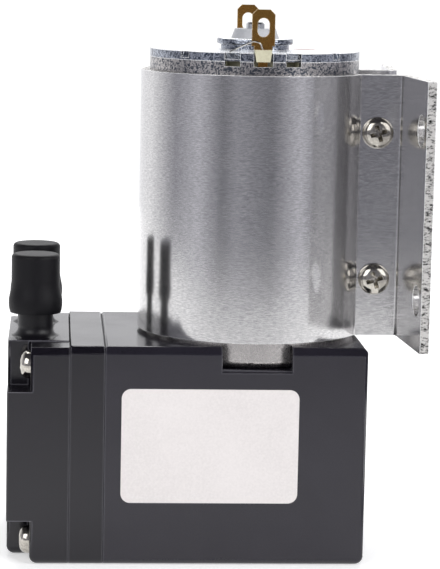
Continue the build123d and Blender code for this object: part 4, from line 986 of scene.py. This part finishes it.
# ---- Sub-assemblies ----
@dataclass
class Assembly:
    """Nodes of the frame that are dressed together."""

    nodes: dict[str, Object]
    finishes: Finishes

    def give(self, finish: Finish, *names: str) -> None:
        """Give some of the nodes a finish."""
        self.finishes.dress(self.nodes, finish, *names)

    def mould(self, node: str, finish: Finish, bare_foot: bool = False) -> None:
        """Stand a copy with softened edges in for a moulded block.

        Args:
            node: The block's node.
            finish: Its finish.
            bare_foot: Whether the node's foot is still sharp along X.
        """
        piece = Softening().build(self.nodes[node], node + "_moulding",
                                  self.finishes.get(finish), bare_foot)
        stands_for(piece, node, "pump")

    def dress(self) -> None:
        """Give each node its finish."""
        raise NotImplementedError

    def screws(self) -> None:
        """Make the assembly's screws, where it has any that show."""


@dataclass
class PumpHead(Assembly):
    """The head cover with its nozzles, valves, gasket and four screws."""

    screw_head_radius_mm: float = 2.4
    screw_head_height_mm: float = 1.8
    screw_radius_mm: float = 1.3

    def dress(self) -> None:
        """Give the head's nodes their finishes."""
        self.give(Finishes.HEAD, "head_cover", "valve_plate")
        self.give(Finishes.NOZZLE, "inlet_nozzle", "outlet_nozzle")
        self.mould("head_cover", Finishes.HEAD)
        self.mould("valve_plate", Finishes.HEAD, bare_foot=True)
        self.give(Finishes.CAP, "inlet_cap", "outlet_cap", "diaphragm")
        self.give(Finishes.VALVE, "inlet_valve", "outlet_valve", "head_gasket")

    def screws(self) -> None:
        """Make the four screws that hold the head."""
        low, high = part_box("head_screws")
        head, height = self.screw_head_radius_mm * MM, self.screw_head_height_mm * MM
        seat = low[0] + height
        master = CrossScrew(HeadStyle.PAN, self.screw_head_radius_mm, self.screw_head_height_mm,
                            self.screw_radius_mm, (high[0] - seat) / MM,
                            recess_reach_mm=1.25, recess_depth_mm=1.2).build("head_screw")
        across, up = high[1] - low[1] - 2 * head, high[2] - low[2] - 2 * head
        place = (seat, (low[1] + high[1]) / 2, (low[2] + high[2]) / 2)
        # Turned about Y, local +Z looks along -X, and local X runs up.
        pattern = ScrewPattern(2, 2, up, across, place, (0.0, -math.pi / 2, 0.0), seed=4)
        piece = pattern.build("head_screws_recessed", master, self.finishes.get(Finishes.SCREW))
        stands_for(piece, "head_screws", "pump")


@dataclass
class Crankcase(Assembly):
    """The housing under the motor with its bottom cover, label and crank drive."""

    cover_screw_head_mm: float = 2.2
    cover_screw_radius_mm: float = 1.2

    def dress(self) -> None:
        """Give the crankcase's nodes their finishes."""
        self.give(Finishes.HOUSING, "crankcase", "bottom_cover")
        self.mould("crankcase", Finishes.HOUSING)
        self.give(Finishes.LABEL, "label")
        self.give(Finishes.CAST, "eccentric", "connecting_rod", "clamp_disc")
        self.give(Finishes.SCREW, "diaphragm_screw", "set_screw", "pin_screw")
        self.give(Finishes.BEARING, "bearing_inner_ring", "bearing_outer_ring",
                  "bearing_balls", "bearing_cage")

    def screws(self) -> None:
        """Make the four countersunk screws under the bottom cover."""
        low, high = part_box("bottom_cover_screws")
        head = self.cover_screw_head_mm * MM
        master = CrossScrew(HeadStyle.COUNTERSUNK, self.cover_screw_head_mm, 0.0,
                            self.cover_screw_radius_mm, (high[2] - low[2]) / MM,
                            recess_reach_mm=1.2, recess_depth_mm=1.0,
                            arm_half_mm=0.27).build("cover_screw")
        across, along = high[1] - low[1] - 2 * head, high[0] - low[0] - 2 * head
        place = ((low[0] + high[0]) / 2, (low[1] + high[1]) / 2, low[2])
        pattern = ScrewPattern(2, 2, along, across, place, (math.pi, 0.0, 0.0), seed=7)
        piece = pattern.build("cover_screws_recessed", master, self.finishes.get(Finishes.SCREW))
        stands_for(piece, "bottom_cover_screws", "pump")


@dataclass
class Motor(Assembly):
    """The motor: can, end plate, brush gear, windings and terminals."""

    def dress(self) -> None:
        """Give the motor's nodes their finishes."""
        self.give(Finishes.CAN, "motor_can")
        self.give(Finishes.PLATE, "motor_end_plate")
        self.give(Finishes.IVORY, "brush_holder")
        self.give(Finishes.BRASS, "front_terminal", "rear_terminal")
        self.give(Finishes.BRONZE, "lower_bush", "upper_bush")
        self.give(Finishes.GREY, "shaft_collar")
        self.give(Finishes.SHAFT, "shaft")
        self.give(Finishes.FERRITE, "magnets")
        self.give(Finishes.CORE, "armature_core")
        self.give(Finishes.COPPER, "windings")
        self.give(Finishes.COMMUTATOR, "commutator")
        self.give(Finishes.CARBON, "brushes")
        self.give(Finishes.SCREW, "motor_screws")
        self.give(Finishes.TINNED, "suppressor_lead")


@dataclass
class Bracket(Assembly):
    """The clamp bracket round the motor with its two screws and nuts."""

    screw_head_radius_mm: float = 2.7
    screw_head_height_mm: float = 1.9
    screw_radius_mm: float = 1.5

    def dress(self) -> None:
        """Give the bracket's nodes their finishes."""
        self.give(Finishes.SHEET, "bracket")
        self.give(Finishes.SCREW, "bracket_nuts")

    def screws(self) -> None:
        """Make the two clamp screws."""
        low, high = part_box("bracket_screws")
        head, height = self.screw_head_radius_mm * MM, self.screw_head_height_mm * MM
        seat = low[1] + height
        master = CrossScrew(HeadStyle.PAN, self.screw_head_radius_mm, self.screw_head_height_mm,
                            self.screw_radius_mm, (high[1] - seat) / MM,
                            recess_reach_mm=1.5, recess_depth_mm=1.5,
                            arm_half_mm=0.36).build("clamp_screw")
        up = high[2] - low[2] - 2 * head
        place = ((low[0] + high[0]) / 2, seat, (low[2] + high[2]) / 2)
        # Turned about X, local +Z looks along -Y and local Y runs up.
        pattern = ScrewPattern(1, 2, 0.0, up, place, (math.pi / 2, 0.0, 0.0), seed=2)
        piece = pattern.build("clamp_screws_recessed", master, self.finishes.get(Finishes.SCREW))
        stands_for(piece, "bracket_screws", "pump")


@dataclass
class Studio:
    """Pale floor, soft light and the camera."""

    # The room's tones: its unlit and half lit parts, the soft cards, and the backdrop.
    UNLIT: ClassVar[str] = "#505056"
    HALF_LIT: ClassVar[str] = "#6c6c72"
    CARD: ClassVar[str] = "#8c8c92"
    BACKDROP: ClassVar[str] = "#b8b8ba"
    # Degrees round from +X, and the tone seen there. The camera stands near -90.
    SIDE_TONES: ClassVar[Sequence[tuple[float, str]]] = (
        (-180, HALF_LIT), (-150, CARD), (-125, UNLIT), (-110, HALF_LIT), (-75, UNLIT),
        (-45, CARD), (-30, HALF_LIT), (0, CARD), (25, HALF_LIT), (50, BACKDROP),
        (140, BACKDROP), (180, HALF_LIT))

    finishes: Finishes
    camera_mm: Point = (-33.712, -410.551, 102.522)
    yaw: float = 0.0694
    pitch: float = 0.1393
    roll: float = 0.0203
    lens_mm: float = 151.49
    sensor_mm: float = 36.0
    clip_m: Pair = (0.01, 20.0)
    floor_radius_mm: float = 430.0
    floor_thick_mm: float = 4.0
    floor_back_mm: float = 110.0
    floor_segments: int = 96
    table_glow: float = 0.4
    glow_from_mm: float = -190.0
    glow_to_mm: float = -60.0
    # The room darkens between these heights of the direction seen.
    dome_span: Pair = (0.3, 0.8)
    dome_tone: str = "#2c2c30"
    room_strength: float = 2.2
    paper_strength: float = 1.05
    lamp_target_mm: Point = (0.0, 0.0, 45.0)

    def floor(self) -> None:
        """Lay the round table top that the pump stands on."""
        radius, under = self.floor_radius_mm * MM, -self.floor_thick_mm * MM
        profile = [(0.0, 0.0), (radius, 0.0), (radius, under), (0.0, under)]
        table = new_piece("table_top", spun("table_top", profile, self.floor_segments))
        table.data.transform(Matrix.Translation((0.0, self.floor_back_mm * MM, 0.0)))
        paper = self.finishes.get(Finishes.FLOOR)
        tree = paper.node_tree
        shader = tree.nodes["Principled BSDF"]
        # A lit table: it glows a little under the pump, so shadows on it stay faint.
        shader.inputs["Emission Color"].default_value = linear("#ffffff")
        place = add(tree, "ShaderNodeSeparateXYZ",
                    {"Vector": add(tree, "ShaderNodeTexCoord").outputs["Object"]})
        glow = add(tree, "ShaderNodeMapRange",
                   {"Value": place.outputs["Y"], "From Min": self.glow_from_mm * MM,
                    "From Max": self.glow_to_mm * MM, "To Max": self.table_glow})
        tree.links.new(glow.outputs["Result"], shader.inputs["Emission Strength"])
        table.data.materials.append(paper)

    def world(self) -> None:
        """Set a grey room with a few soft light and dark fields round it."""
        world = bpy.data.worlds.new("soft_studio")
        bpy.context.scene.world = world
        world.use_nodes = True
        tree = world.node_tree
        tree.nodes.clear()
        coords = add(tree, "ShaderNodeTexCoord")
        way = add(tree, "ShaderNodeSeparateXYZ", {"Vector": coords.outputs["Generated"]})
        around = add(tree, "ShaderNodeMath", {0: way.outputs["Y"], 1: way.outputs["X"]},
                     operation="ARCTAN2")
        share = add(tree, "ShaderNodeMapRange",
                    {"Value": around.outputs[0], "From Min": -math.pi, "From Max": math.pi})
        sides = ramp(tree, share.outputs["Result"],
                     [((angle + 180) / 360, tone) for angle, tone in self.SIDE_TONES])
        height = add(tree, "ShaderNodeMapRange",
                     {"Value": way.outputs["Z"], "From Min": self.dome_span[0],
                      "From Max": self.dome_span[1]})
        dome = add(tree, "ShaderNodeMix",
                   {0: height.outputs["Result"], 6: sides, 7: linear(self.dome_tone)},
                   data_type="RGBA")
        room = add(tree, "ShaderNodeBackground",
                   {"Color": dome.outputs[2], "Strength": self.room_strength})
        paper = add(tree, "ShaderNodeBackground",
                    {"Color": linear("#ffffff"), "Strength": self.paper_strength})
        ray = add(tree, "ShaderNodeLightPath")
        seen = add(tree, "ShaderNodeMixShader",
                   {0: ray.outputs["Is Camera Ray"], 1: room.outputs[0], 2: paper.outputs[0]})
        add(tree, "ShaderNodeOutputWorld", {"Surface": seen.outputs[0]})
        bpy.context.scene.view_settings.view_transform = "Standard"

    def lamp(self, name: str, place_mm: Point, size_mm: float, power: float) -> None:
        """Hang one soft square lamp.

        Args:
            name: The lamp's name.
            place_mm: Where it hangs.
            size_mm: Its side.
            power: Its power in watts.
        """
        data = bpy.data.lights.new(name, "AREA")
        data.size, data.energy = size_mm * MM, power
        lamp = bpy.data.objects.new(name, data)
        bpy.context.scene.collection.objects.link(lamp)
        place, target = Vector(place_mm) * MM, Vector(self.lamp_target_mm) * MM
        lamp.location = place
        lamp.rotation_euler = (target - place).to_track_quat("-Z", "Y").to_euler()

    def lamps(self) -> None:
        """Hang the lamps: one high behind, one at each side in front."""
        self.lamp("high_behind", (0.0, 520.0, 680.0), 600.0, 4.4)
        self.lamp("front_left", (-550.0, -650.0, 520.0), 650.0, 3.8)
        self.lamp("front_right", (600.0, -500.0, 480.0), 650.0, 4.8)

    def camera(self) -> None:
        """Set the camera."""
        data = bpy.data.cameras.new("camera")
        data.lens, data.sensor_width = self.lens_mm, self.sensor_mm
        data.clip_start, data.clip_end = self.clip_m
        camera = bpy.data.objects.new("camera", data)
        bpy.context.scene.collection.objects.link(camera)
        cos, sin = math.cos, math.sin
        forward = Vector((sin(self.yaw) * cos(self.pitch), cos(self.yaw) * cos(self.pitch),
                          -sin(self.pitch)))
        right = Vector((cos(self.yaw), -sin(self.yaw), 0.0))
        up = right.cross(forward)
        tilted_right = right * cos(self.roll) + up * sin(self.roll)
        tilted_up = up * cos(self.roll) - right * sin(self.roll)
        turn = Matrix((tilted_right, tilted_up, -forward)).transposed()
        camera.matrix_world = (Matrix.Translation(Vector(self.camera_mm) * MM)
                               @ turn.to_4x4())
        bpy.context.scene.camera = camera

    def build(self) -> None:
        """Set the whole studio."""
        self.camera()
        self.floor()
        self.world()
        self.lamps()
        LOG.info("studio is set")


def main() -> None:
    """Load the frame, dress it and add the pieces."""
    logging.basicConfig(level=logging.INFO, format="%(name)s: %(message)s")
    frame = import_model()
    nodes = frame["nodes"]
    finishes = Finishes()
    Studio(finishes).build()
    for kind in (PumpHead, Crankcase, Motor, Bracket):
        assembly = kind(nodes, finishes)
        assembly.dress()
        assembly.screws()


if __name__ == "__main__":
    main()
